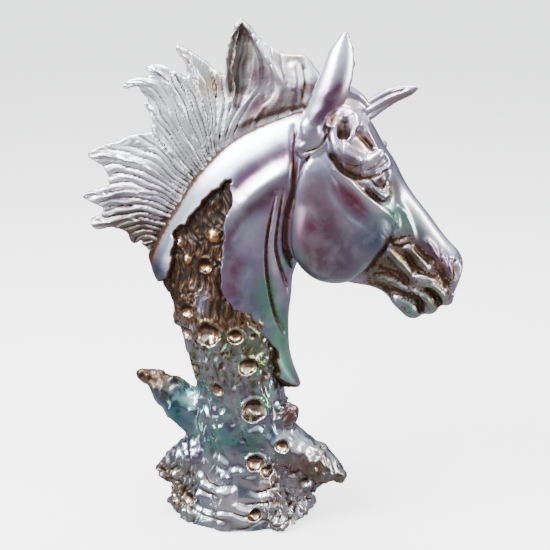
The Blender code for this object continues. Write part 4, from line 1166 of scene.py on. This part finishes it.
def strand_tree():
    """Geometry nodes that lay rows of tapering strands over both faces of each lock."""
    kinds = {"Lanes": "Int", "Radius": "Float", "Wave": "Float", "Wave length": "Float"}
    tree, given = open_tree("strands", kinds)
    lanes = given["Lanes"]
    guides = add(tree, "GeometryNodeMeshToCurve", {0: given["Geometry"]}).outputs[0]
    both = calculated(tree, "MULTIPLY", lanes, 2.0)
    rows = add(tree, "GeometryNodeDuplicateElements", {0: guides, "Amount": both}, domain="SPLINE").outputs
    number = rows["Duplicate Index"]
    lane = calculated(tree, "MODULO", number, lanes)
    last = calculated(tree, "SUBTRACT", lanes, 1.0)
    across = mapped(tree, lane, high=last, to_low=-1.0, clamp=False)
    facing = mapped(tree, calculated(tree, "LESS_THAN", number, lanes), to_low=1.0, to_high=-1.0)
    crown = mapped(tree, calculated(tree, "MULTIPLY", across, across), to_low=1.0, to_high=0.35)
    steps = []
    for name, share in (("side", across), ("out", calculated(tree, "MULTIPLY", facing, crown))):
        reach = add(tree, "GeometryNodeInputNamedAttribute", {0: name}, data_type="FLOAT_VECTOR")
        steps.append(combined(tree, "SCALE", reach.outputs[0], share))
    shift = add(tree, "ShaderNodeCombineXYZ", {0: number, 1: number, 2: number}).outputs[0]
    apart = combined(tree, "MULTIPLY", shift, (37.0, 37.0, 37.0))
    spot = combined(tree, "ADD", add(tree, "GeometryNodeInputPosition").outputs[0], apart)
    scale = calculated(tree, "DIVIDE", 1.0, given["Wave length"])
    wave = swing(tree, spot, scale, given["Wave"])
    offset = combined(tree, "ADD", combined(tree, "ADD", *steps), wave)
    laid = add(tree, "GeometryNodeSetPosition", {0: rows["Geometry"], "Offset": offset}).outputs[0]
    along = add(tree, "GeometryNodeSplineParameter").outputs["Factor"]
    fade = mapped(tree, along, 0.35, 1.0, 1.0, 0.35)
    spread = {2: 0.75, 3: 1.25, "ID": number, "Seed": 4}
    vary = add(tree, "FunctionNodeRandomValue", spread, data_type="FLOAT").outputs[1]
    thin = calculated(tree, "MULTIPLY", fade, vary)
    radius = calculated(tree, "MULTIPLY", thin, given["Radius"])
    sized = add(tree, "GeometryNodeSetCurveRadius", {0: laid, "Radius": radius}).outputs[0]
    profile = add(tree, "GeometryNodeCurvePrimitiveCircle", {"Resolution": 8, "Radius": 1.0}).outputs[0]
    tube = add(tree, "GeometryNodeCurveToMesh", {0: sized, 1: profile, "Fill Caps": True}).outputs[0]
    finish_tree(tree, tube, given["Material"])
    return tree


def grown(thing, tree, values):
    """The mesh that a node tree makes of an object, with the tree's named inputs set."""
    work = thing.modifiers.new(tree.name, "NODES")
    work.node_group = tree
    for item in tree.interface.items_tree:
        if item.in_out == "INPUT" and item.name in values:
            work[item.identifier] = values[item.name]
    mesh = evaluated_mesh(thing)
    thing.modifiers.clear()
    return mesh


# Brushed silver plate, duller than on the smooth skin
mane_finish = plated("silver_plate_on_hair", "#2b1a12", "#5f4a40", 0.42, 2.0, 0.12)
rows, joins, sides, outs = [], [], [], []
for half_width, shift, path in list(LOCKS.values())[CALM_LOCKS:]:
    line = smooth_line(path, 24)
    ahead = np.gradient(line, axis=0)
    ahead /= np.linalg.norm(ahead, axis=1)[:, None]
    for k, ((x, z), (dx, dz)) in enumerate(zip(line, ahead)):
        along = k / (len(line) - 1)
        width = half_width * (1 - 0.86 * along**1.8)
        thick = MANE_THICK / 2 * (1 + (TIP_SHARE - 1) * along) * min(1, 0.6 + along)
        if k:
            joins.append((len(rows) - 1, len(rows)))
        rows.append((x, shift * 0.3, z))
        sides.append((-dz * width, 0, dx * width))
        outs.append((0, thick * 0.95, 0))
guide_mesh = bpy.data.meshes.new("guides")
guide_mesh.from_pydata(rows, joins, [])
for name, values in (("side", sides), ("out", outs)):
    layer = guide_mesh.attributes.new(name, "FLOAT_VECTOR", "POINT")
    layer.data.foreach_set("vector", np.array(values, float).ravel())
guides = bpy.data.objects.new("guides", guide_mesh)
bpy.context.scene.collection.objects.link(guides)
strands = grown(guides, strand_tree(), {**STRANDS, "Material": mane_finish})
bpy.data.objects.remove(guides)

clay = bmesh.new()
mane_outline = smooth_line(MANE_EDGE + MANE_EDGE[:1], 3 * len(MANE_EDGE))[:-1]
front = [clay.verts.new((x, -MANE_THICK / 2, z)) for x, z in mane_outline]
rear = [clay.verts.new((x, MANE_THICK / 2, z)) for x, z in mane_outline]
sheet = [clay.faces.new(front), clay.faces.new(rear[::-1])]
for k in range(len(front)):
    after = (k + 1) % len(front)
    sheet.append(clay.faces.new((front[k], rear[k], rear[after], front[after])))
bmesh.ops.recalc_face_normals(clay, faces=sheet)
comb = fused(clay, "comb", COMB_GRAIN, 1, 0)
lines = [smooth_line(path, 16) for _, _, path in LOCKS.values()]


def flow(flat):
    """How XZ points lie in the hair: a number that grows by one from lock to lock, and the way along."""
    found = [nearest(flat, line) for line in lines]
    gaps = np.array([gap for gap, _ in found])
    ways = np.array([way for _, way in found])
    first = gaps.argmin(axis=0)
    here = np.arange(len(flat))
    before = np.clip(first - 1, 0, len(lines) - 1)
    after = np.clip(first + 1, 0, len(lines) - 1)
    to_before = np.where(first > 0, gaps[before, here], np.inf)
    to_after = np.where(first < len(lines) - 1, gaps[after, here], np.inf)
    onwards = to_after < to_before
    near = gaps[first, here]
    far = np.where(onwards, to_after, to_before)
    share = near / (near + far)
    return first + np.where(onwards, share, -share), ways[first, here]


points, normals, pairs = hold(comb.data)
lane, way = flow(points[:, [0, 2]])
slim = 1 + (TIP_SHARE - 1) * relaxed(way, pairs, 12)
points[:, 1] *= slim * np.clip(0.72 + 1.2 * way, 0, 1)
put(comb.data, points)
clay = bmesh.new()
clay.from_mesh(comb.data)
bpy.data.objects.remove(comb)
clay.from_mesh(strands)
mane = fused(clay, "mane", MANE_GRAIN, 2, 0)
points, normals, pairs = hold(mane.data)
lane, way = flow(points[:, [0, 2]])
side = np.sign(points[:, 1])
drift = rough(points * (1, 0, 1) + side[:, None] * 40, (16, 16, 16), 31.0)
calm = np.clip((CALM_LOCKS - lane) / 2, 0, 1)
number = np.interp(lane, *np.transpose(RIBBONS)) + 0.35 * drift + 0.5 * (side > 0)
whole = np.floor(number)
part = number - whole
bank = np.sqrt(np.clip(1 - (2 * part - 1) ** 2, 0, 1))
# Each ribbon lies higher or lower by chance, the same in every run
step_up = np.modf(np.abs(np.sin(whole * 12.9898 + 3.1)) * 43758.5453)[0]
swell = 0.75 + 0.5 * rough(np.column_stack([lane * 9, way * 12, side * 9]), (4, 4, 4), 41.0)
hair = np.abs(np.sin(3 * math.pi * number + 2.0 * drift))
body = rough(points, (22, 22, 22), 51.0)
flatness = rising(np.abs(normals[:, 1]), 0.1, 0.5)
ridge_height = RIBBON_HEIGHT * (1 + 0.5 * np.clip((300 - points[:, 2]) / 25, 0, 1))
lift = ridge_height * (bank - 0.8 + 0.7 * (step_up - 0.5)) * swell * (1 - 0.4 * calm)
lift += 0.4 * (hair - 0.6) * (1 - 0.7 * calm) + 0.8 * body
flat = points[:, [0, 2]]
hollow = rising(inset(flat, SCOOP), 0, 3)
valley = rising(inset(flat, FOLD), 0, 5)
lift *= (1 - 0.75 * hollow) * (1 - 0.5 * valley)
points, normals = moved(points, lift * flatness, mane.data)
points, normals = moved(points, strokes(points, normals, MANE_STROKES), mane.data)
fine = recess(points, normals, pairs, 14)
# painted shade on faces that look down
under = np.clip(-normals[:, 2] * 1.6 - 0.7, 0, 1)
root, _ = nearest(points[:, [0, 2]], smooth_line(MANE_ROOT, 60))
low = np.clip((262 - points[:, 2]) / 45, 0, 1)
streak = np.clip(0.6 + 0.8 * np.sin(5 * math.pi * number), 0, 1)
# Wash in the fine recesses and along the root line. Painted shade is laid with it on faces that look down,
# in the scoop and in the fold behind the ear, and as a painted shadow along the crest low down; the lower
# hair is also darker towards the bottom.
wash_and_shade = fine / 0.7 * (1 - 0.5 * valley) - 0.2 + 0.6 * under + 0.75 * low + 0.7 * bell(root, 2.6)
wash_and_shade += 0.4 * hollow + valley * (0.60 + 0.1 * streak) + 0.35 * low * bell(root, 14) * streak
store(mane.data, "wash_and_shade", np.clip(wash_and_shade, 0, 1))
# Lacquer in patches, as on the head, with painted highlights and shade among them where marked
MANE_TINTS = [
    (-95, 238, 20, 0.85, "#8c7c78"),
    (-75, 232, 18, 0.85, "#6c5c60"),
    (-70, 262, 18, 0.5, "#b9a9c2"),
    (-112, 294, 9, 0.6, "#cbb7a4"),
    (-4, 384, 6, 0.6, "#8b8790"),
    # plum darkened as painted shade in the fold behind the ear
    (12, 330, 10, 0.8, "#7a4860"),
    (38, 345, 10, 0.5, "#b79ab8"),
    (24, 352, 7, 0.7, "#845a78"),
    (36, 366, 9, 0.7, "#d9b893"),
    # warm gold as painted shadow, cast by the top lock, in this row and the next
    (-22, 345, 9, 0.8, "#e3bf86"),
    (-42, 366, 6, 0.6, "#c9a690"),
    (-60, 350, 14, 0.4, "#e6dff0"),
    (14, 352, 8, 0.8, "#8a6478"),
    # painted highlight on the bright ridge beside the scoop
    (30, 356, 8, 0.8, "#f6f2f8"),
    (4, 336, 8, 0.7, "#9a8aa0"),
    (-84, 242, 16, 0.9, "#6c6664"),
    (-98, 262, 10, 0.6, "#a89cb4"),
    (-84, 272, 8, 0.6, "#b0a6bc"),
    (-88, 232, 10, 0.7, "#86785c"),
]
colours = tinted(flat, "#f2f5fa", MANE_TINTS)
# Painted shade in the scoop of the tallest lock: dark slate, turning plum towards its right side; and
# painted shade, plum-brown, in the fold behind the ear
plum = np.clip((flat[:, 0] + 6 - 0.55 * (flat[:, 1] - 340)) / 10, 0, 1)
scoop_shade = np.tile(linear("#4e4a42"), (len(flat), 1))
blend(scoop_shade, plum, "#5e4452")
blend(colours, 0.95 * hollow * (0.75 + 0.25 * streak), scoop_shade)
blend(colours, 0.9 * valley * (0.6 + 0.4 * streak), "#6a4450")
store(mane.data, "tint", colours, "FLOAT_COLOR")
settle(mane, mane_finish)

# THE STUMP
# A trunk with roots, a broken branch and pitted bark, running out into a molten skirt on the ground.
# The upper bark is fibrous and dark with wash; lower down the plate pools in glossy ripples.
STUMP_GRAIN = 1.8         # grain at which it is fused
BASE_LENGTH = 114.0
BASE_DEPTH = 90.0
# Inside the neck it carries on as a core, which shows in the window that the torn skin leaves open
CORE_ROWS = NECK[2:-3]
CORE_NARROWER = 5.0       # than the neck, on each side
CORE_INSET = 4.0          # in from the back and front lines of the neck
# Height, left edge x, right edge x, half depth
STUMP = [
    (-6, -62, 54, 47), (8, -59, 50, 45), (22, -55, 46, 41), (40, -50, 42, 38), (62, -45, 38, 35),
    (84, -42, 35, 34), (104, -38, 31, 33), (120, -40, 28, 33), (140, -46, 27, 33), (160, -51, 27, 32),
    (182, -57, 26, 29), (206, -54, 18, 22),
]
# Roots and stubs of branches: x, y, z, radius at each point
LIMBS = {
    "branch": [(-26, -2, 72, 18), (-46, -4, 88, 17), (-60, -6, 101, 14), (-71, -7, 110, 9),
               (-80, -8, 115, 5), (-88, -8, 117, 2)],
    "root_left": [(-26, -10, 58, 20), (-44, -14, 48, 16), (-57, -16, 39, 11), (-67, -17, 34, 5)],
    "root_left_foot": [(-34, -8, 30, 20), (-48, -12, 24, 13), (-58, -14, 22, 7)],
    "root_right": [(20, -8, 72, 20), (40, -12, 60, 17), (58, -16, 52, 14), (72, -18, 46, 10),
                   (83, -20, 41, 4)],
    "root_right_foot": [(26, -8, 40, 22), (42, -12, 34, 16), (56, -15, 34, 9), (64, -16, 36, 5)],
    "root_front": [(-10, -20, 60, 14), (-10, -34, 34, 11), (-10, -42, 14, 8), (-10, -45, 4, 6)],
    "root_front_right": [(14, -16, 52, 13), (26, -30, 28, 10), (32, -38, 12, 7), (34, -41, 4, 5)],
    "root_back": [(-18, 18, 58, 14), (-30, 31, 34, 11), (-38, 38, 14, 8), (-40, 40, 4, 6)],
    "root_back_right": [(14, 20, 60, 13), (24, 34, 34, 11), (32, 40, 14, 9), (34, 42, 4, 6)],
    "stub_right": [(18, -10, 78, 12), (30, -14, 84, 9), (37, -16, 90, 7.5), (41, -17, 97, 5.5)],
    "burl_back": [(-10, 24, 118, 13), (-6, 31, 128, 10), (-4, 33, 138, 6)],
    "burl_left": [(-30, -6, 170, 16), (-44, -8, 164, 12), (-50, -9, 158, 7)],
}
# Skirt of the base: height above the ground, share of the base's size, depth of its lobes
SKIRT = [
    (-8, 1.0, 0.03), (0, 1.02, 0.03), (7, 1.0, 0.035), (16, 0.93, 0.04), (27, 0.82, 0.05),
    (40, 0.71, 0.05), (55, 0.62, 0.04), (68, 0.56, 0.02),
]
# Round pits in the bark: x, z, radius, depth (below zero is a dome), side (-1 towards the viewer, 1 away)
PITS = [
    (-23, 160, 9, 7.5, -1), (-2, 159, 5.5, 4.5, -1), (-41, 157, 5, 3, -1), (-40, 176, 5, 3, -1),
    (7, 135, 6.5, 5, -1), (11.5, 99, 8.5, 8.5, -1), (-26, 212, 5.5, 4.5, -1), (-16, 115, 5, 2, -1),
    (-14, 84, 7.5, -2.5, -1), (13, 79, 7.5, -2.5, -1), (2, 116, 6, -1.5, -1), (-27, 70, 4, -2, -1),
    (-36, 55, 5, -2.5, -1), (13, 56, 6.5, 5.5, -1), (22, 49, 4.5, 3.5, -1), (33.5, 69, 5, 3.5, -1),
    (-1, 49, 4, -2.5, -1), (-11, 46, 4, -2, -1), (14, 15, 5, 4.5, -1), (70, 46, 4.5, -2, -1),
    (58, 60, 5, -2, -1), (-64, 38, 4, 2.5, -1), (-56, 26, 3.5, 2.5, -1), (-55, 14, 4, 2.5, -1),
    (-41, 20, 4.5, 3, -1), (-20, 235, 5, -2.5, -1), (-41, 215, 3.5, -1.8, -1), (-48, 226, 3, -1.5, -1),
    (-36, 128, 3.5, 2.5, -1), (-20, 150, 8, 5, 1), (4, 118, 7, 5, 1), (-16, 92, 7, 4, 1),
    (12, 66, 8, 4, 1), (-24, 196, 6, 3, 1), (-30, 44, 6, 3, 1), (22, 30, 6, -3, 1), (-6, 20, 7, 3, 1),
]
GOLDEN_FROM = 200         # height above which bosses get a painted golden gleam, and a painted white highlight at their middle
BUBBLES = 130             # small bubbles and dimples between them
BUBBLE_SIZE = (1.2, 3.0)
BUBBLE_HEIGHTS = (6, 170)
# Going up: height at which the upper two belts of bark come in and the lowest starts to fade out, and over
# how many millimetres
FIBROUS_BELT = (160, 20)
SPECKLED_BELT = (108, 15)
RIPPLED_BELT = (40, 25)
# Places with a surface of their own: middle x, z and how far they reach along and up
SMOOTH_PLACE = (-28, 184, 8, 14)
STUB_END = (38, 93, 8, 9)
ROOT_TIP = (74, 46, 10, 9)
BRANCH_END = (-72, 114, 17, 8)
# Splinters for each square millimetre of the core where it lies within the mane's outline. They stay
# inside the neck and mane: in the open window the fibres are relief alone.
SPLINTERS = 0.45
SPLINTER_SIZE = ((0.5, 0.6, 4.0), (1.1, 1.2, 14.0))
SPLINTER_BEND = 1.6
# Clouds of colour in the plate: colour, size in mm, lowest and highest z, strength
MARBLING = [
    ("#7d9078", 26, 100, 185, 0.80),
    ("#62aaa6", 13, 40, 122, 0.80),
    ("#8797b0", 12, 15, 130, 0.80),
    ("#8c749a", 10, 40, 125, 0.80),
    ("#a4dcc4", 8, 58, 175, 0.80),
    ("#62703a", 5, 100, 178, 0.90),
    ("#7f6545", 12, 0, 52, 0.50),
    ("#93acc8", 14, 0, 50, 0.60),
    ("#ffffff", 13, 4, 50, 0.80),
]


def splinter_tree():
    """Geometry nodes that lay crooked splinters along the bark, upright in its surface."""
    kinds = {"Density": "Float", "Least size": "Vector", "Most size": "Vector", "Bend": "Float"}
    tree, given = open_tree("splinters", kinds)
    bark = add(tree, "GeometryNodeInputNamedAttribute", {0: "fibrous"}, data_type="FLOAT").outputs[0]
    density = calculated(tree, "MULTIPLY", bark, given["Density"])
    sown = {"Mesh": given["Geometry"], "Density": density, "Seed": 11}
    spots = add(tree, "GeometryNodeDistributePointsOnFaces", sown).outputs
    out = spots["Normal"]
    spans = {0: (-0.45, -0.3, 1.0), 1: (0.5, 0.3, 1.0), "Seed": 5}
    lean = add(tree, "FunctionNodeRandomValue", spans, data_type="FLOAT_VECTOR").outputs[0]
    inward = combined(tree, "SCALE", out, combined(tree, "DOT_PRODUCT", lean, out))
    grain = combined(tree, "SUBTRACT", lean, inward)
    upright = add(tree, "FunctionNodeAlignRotationToVector", {"Vector": grain}, axis="Z").outputs[0]
    turned = {"Rotation": upright, "Vector": out}
    facing = add(tree, "FunctionNodeAlignRotationToVector", turned, axis="Y", pivot_axis="Z")
    sizes = {0: given["Least size"], 1: given["Most size"], "Seed": 8}
    size = add(tree, "FunctionNodeRandomValue", sizes, data_type="FLOAT_VECTOR")
    spindle = add(tree, "GeometryNodeMeshUVSphere", {"Segments": 5, "Rings": 7, "Radius": 0.5})
    laid = add(tree, "GeometryNodeInstanceOnPoints", {
        "Points": spots["Points"],
        "Instance": spindle.outputs["Mesh"],
        "Rotation": facing.outputs[0],
        "Scale": size.outputs[0],
    })
    real = add(tree, "GeometryNodeRealizeInstances", {0: laid.outputs[0]}).outputs[0]
    bent = swing(tree, add(tree, "GeometryNodeInputPosition").outputs[0], 0.16, given["Bend"])
    crooked = add(tree, "GeometryNodeSetPosition", {0: real, "Offset": bent}).outputs[0]
    finish_tree(tree, crooked, given["Material"])
    return tree


clay = bmesh.new()
core = np.array(CORE_ROWS, float)
core[:, 4:] -= CORE_NARROWER
core[:, 0] += CORE_INSET
core[:, 2] -= CORE_INSET
loft(clay, slab_rings(core, 0.9))
c, s = around(0.92)
trunk = []
for z, left, right, deep in smooth_line(STUMP, len(STUMP) * 5):
    axis = (left + right) / 2
    trunk.append(np.column_stack([axis + (right - left) / 2 * c, deep * s, np.full(SIDES, z)]))
loft(clay, trunk)
for path in LIMBS.values():
    loft(clay, tube_rings(path))
angles = np.linspace(0, 2 * math.pi, SIDES * 2, endpoint=False)
lobes = np.sin(3 * angles + 0.6) + 0.8 * np.sin(5 * angles + 2.2) + 0.6 * np.sin(8 * angles + 1.0)
skirt = []
for z, share, ruffle in smooth_line(SKIRT, len(SKIRT) * 3):
    wave = share * (1 + ruffle * lobes)
    x = BASE_LENGTH / 2 * wave * np.cos(angles) - ZERO[0]
    y = BASE_DEPTH / 2 * wave * np.sin(angles)
    skirt.append(np.column_stack([x, y, np.full(len(angles), z - ZERO[2])]))
loft(clay, skirt)
stump = fused(clay, "stump", STUMP_GRAIN, 4)
points, normals, pairs = hold(stump.data)
upper = rising(points[:, 2], *FIBROUS_BELT)
lower = 1 - rising(points[:, 2], *RIPPLED_BELT)
speckled = rising(points[:, 2], *SPECKLED_BELT) * (1 - upper)
middle = (1 - upper) * (1 - lower) * (1 - speckled)
wander = [((19, 19, 19), 21.0), ((17, 17, 17), 23.0), ((21, 21, 15), 27.0)]
bent = points + 6 * np.column_stack([rough(points, size, seed) for size, seed in wander])
flat = points[:, [0, 2]]
fibre = rough(bent, (1.5, 1.5, 14), 5.0)
gaps = rough(bent, (3.4, 3.4, 17), 15.0)
drips = rough(bent, (8, 8, 26), 2.0)
small = rough(points, (3.4, 3.4, 4.6), 7.0)
swags = np.hypot((bent[:, 0] - 4) / 1.7, bent[:, 2] - 66)
creases = np.abs(np.sin(math.pi * swags / 10)) ** 0.7
fading = np.clip(0.5 + rough(points, (15, 15, 11), 33.0), 0, 1)
flows = rough(bent, (15, 15, 9), 11.0)
smooth = patch(flat, *SMOOTH_PLACE)
drape = np.clip((np.abs(flat[:, 0] + 4) - 22) / 12, 0, 1)
stub = patch(flat, *STUB_END)
tip = patch(flat, *ROOT_TIP)
lift = upper * (1 - 0.8 * smooth) * (0.7 * fibre + 0.9 * gaps) + speckled * (0.7 * small + 0.9 * drips)
molten = 3.0 * (creases - 0.6) * fading + 1.4 * flows
lift += middle * (1.6 * drips + 0.35 * small) + lower * molten * (1 - tip)
veins = 2.2 * rough(bent, (3.6, 3.6, 16), 35.0) + 0.5 * small
lift += 1.4 * stub * fibre + lower * drape * (1 - tip) * veins
# Pits get painted shade over their upper part, and a painted golden gleam and a painted white highlight at
# the bottom; the bosses high up get a painted golden gleam and a painted highlight at their middle.
shade = np.zeros(len(points))
painted_gleam = np.zeros(len(points))
clear = np.ones(len(points))
rim = np.zeros(len(points))
painted_highlight = np.zeros(len(points))
for x, z, radius, deep, side in PITS:
    near = np.hypot(flat[:, 0] - x, flat[:, 1] - z) / radius + 0.07 * small
    on = (normals[:, 1] * side > 0.1) & (points[:, 1] * side > 8)
    bowl = np.clip(1 - near**2, 0, 1) ** 0.6 * on
    lip = bell(near - 1.14, 0.16) * on
    lift = lift * (1 - np.exp(-(near**4)) * on) - deep * bowl + 0.20 * abs(deep) * lip
    rise = (flat[:, 1] - z) / radius
    within = np.clip((1.05 - near) * 5, 0, 1) * on
    if deep > 0:
        clear *= 1 - within
        rim = np.maximum(rim, lip)
        shade = np.maximum(shade, within * np.clip(0.45 + 1.2 * rise, 0, 1))
        painted_gleam = np.maximum(painted_gleam, within * np.clip(0.40 - 1.2 * rise, 0, 1))
        bottom = bell(near - 0.6, 0.3) * np.clip(-2.2 * rise - 0.5, 0, 1)
        painted_highlight = np.maximum(painted_highlight, bottom * on)
    elif z > GOLDEN_FROM:
        clear *= 1 - within
        painted_gleam = np.maximum(painted_gleam, within * np.clip(0.8 - 0.6 * rise, 0, 1))
        painted_highlight = np.maximum(painted_highlight, bell(near, 0.35) * on)
dice = np.random.default_rng(7)
lowest, highest = BUBBLE_HEIGHTS
free = (points[:, 2] > lowest) & (points[:, 2] < highest) & (clear > 0.8) & (tip < 0.3)
bubbly = np.flatnonzero(free & (small > 0))
for centre in points[dice.choice(bubbly, BUBBLES, replace=False)]:
    radius = dice.uniform(*BUBBLE_SIZE)
    near = np.linalg.norm(points - centre, axis=1) / radius
    some = near < 2
    height = radius * dice.choice((-0.5, 0.45))
    lift[some] += height * np.exp(-(near[some] ** 4)) + 0.12 * radius * bell(near[some] - 1.2, 0.3)
points, normals = moved(points, lift, stump.data)
fine = recess(points, normals, pairs, 12)
blotch = rough(points, (4, 4, 5), 61.0)
grit = rough(bent, (1.6, 1.6, 4.0), 67.0)
# Wash on the core beside the outline of the mane, inside the neck
beside, _ = nearest(flat, mane_outline)
strip = bell(beside, 5) * rising(flat[:, 1], 118, 10) * (flat[:, 0] > -14)
dark = np.clip(fine / 0.9, 0, 1) * (0.6 + 0.4 * np.maximum(upper, speckled))
high = rising(flat[:, 1], 225, 30)
fibrous = 1.1 - 0.4 * gaps - 0.4 * fibre - 0.9 * smooth + 0.6 * high
dark += upper * fibrous + strip * (0.5 + 0.6 * grit) * (1 - upper)
dark += speckled * np.clip(0.6 * blotch + 0.8 * grit + 0.2, 0, 1) + 0.5 * stub
dark += lower * np.clip(0.6 - creases, 0, 0.5) * 1.3 * fading + 0.3 * rim
dark += lower * drape * np.clip(0.6 * blotch + 0.12 + 0.2 * grit, 0, 0.8) * (1 - 0.6 * tip)
dark += (0.75 + 0.3 * blotch) * patch(flat, *BRANCH_END)
# painted shade on faces that look down, low on the stump
dark += 0.6 * np.clip(-normals[:, 2] * 2 - 0.5, 0, 1) * (points[:, 2] < 60)
dark = dark * (1 - np.clip(painted_gleam * 1.3, 0, 1)) * np.clip(clear + 0.3, 0, 1) + 0.95 * shade
store(stump.data, "wash_and_shade", np.clip(dark, 0, 1))
behind_mane = under_edge(points[:, [0, 2]], mane_outline) & (points[:, 2] > 168)
store(stump.data, "fibrous", behind_mane * clear**2 * (1 - smooth) * rising(points[:, 2], 166, 12))
# Lacquer in patches, as on the head, with painted highlights among them where marked
STUMP_TINTS = [
    (-29, 187, 11, 0.72, "#8d88a6"),
    (9, 153, 11, 0.64, "#7c9460"),
    (-34, 122, 14, 0.56, "#86ab9c"),
    (2, 116, 8, 0.64, "#8c6f92"),
    (12, 80, 9, 0.64, "#7c8494"),
    (9, 69, 12, 0.64, "#5c8a80"),
    (-53, 88, 17, 0.8, "#2a8c98"),
    (-62, 108, 11, 0.8, "#5e4a3e"),
    (-78, 115, 10, 0.8, "#645040"),
    # painted highlight on the top of the branch
    (-38, 99, 5, 0.64, "#f2fafa"),
    (-62, 38, 13, 0.56, "#a09078"),
    (-52, 22, 13, 0.56, "#b4a47c"),
    (46, 56, 16, 0.8, "#7c5c44"),
    (78, 44, 10, 0.8, "#6c6240"),
    (62, 54, 12, 0.72, "#8c7458"),
    # painted highlight on the top of the right root
    (52, 66, 6, 0.48, "#f4f0f0"),
    (38, 92, 9, 0.8, "#84524a"),
    (22, 44, 8, 0.56, "#b98a68"),
    # painted highlights on the front of the base, in this row and the next
    (-12, 28, 15, 0.56, "#f8faff"),
    (36, 16, 15, 0.72, "#faf6f8"),
    (-4, 38, 8, 0.48, "#9a94b8"),
    (-28, 8, 12, 0.56, "#8fb8c4"),
    (26, 6, 12, 0.56, "#6f7a74"),
]
colours = np.tile(linear("#b0b9c3"), (len(points), 1))
for number, (code, size, lowest, highest, strength) in enumerate(MARBLING):
    zone = rising(flat[:, 1], lowest, 12) * np.clip((highest - flat[:, 1]) / 12, 0, 1)
    cloud = rough(bent, (size, size, size * 1.2), 80.0 + 7 * number)
    blend(colours, strength * zone * np.clip(1.7 * cloud - 0.1, 0, 1), code)
colours = tinted(flat, colours, STUMP_TINTS)
blend(colours, 0.9 * upper * (1 - smooth), "#8c6034")
# painted highlights in white on the crests of the ripples low on the base
blend(colours, 0.7 * lower * np.clip(3 * creases - 2, 0, 1) * fading * (1 - drape), "#ffffff")
# painted golden gleam and painted white highlights in the pits and on the bosses
blend(colours, np.clip(painted_gleam, 0, 1), "#e6a55e")
blend(colours, np.clip(painted_highlight, 0, 1), "#fff8ec")
store(stump.data, "tint", colours, "FLOAT_COLOR")
# The glossiest plate, under the darkest wash and the painted shade in the pits and on faces that look down
bark_finish = plated("silver_plate_on_bark", "#170c06", "#63401f", 0.22, 2.5, 0.06)
splinters = bpy.data.objects.new("splinters", grown(stump, splinter_tree(), {
    "Density": SPLINTERS,
    "Least size": SPLINTER_SIZE[0],
    "Most size": SPLINTER_SIZE[1],
    "Bend": SPLINTER_BEND,
    "Material": bark_finish,
}))
bpy.context.scene.collection.objects.link(splinters)
spots, _, _ = hold(splinters.data)
glint = rough(spots, (2.5, 2.5, 5), 71.0)
stained = 0.6 - 3.5 * glint + 0.4 * rising(spots[:, 2], 225, 30)
store(splinters.data, "wash_and_shade", np.clip(stained, 0, 1))
store(splinters.data, "tint", tinted(spots[:, [0, 2]], "#cc9048", []), "FLOAT_COLOR")
settle(splinters, bark_finish)
# The underside is made flat at the level of the ground
low = points[:, 2] < -ZERO[2]
points[low, 2] = -ZERO[2]
put(stump.data, points)
settle(stump, bark_finish)
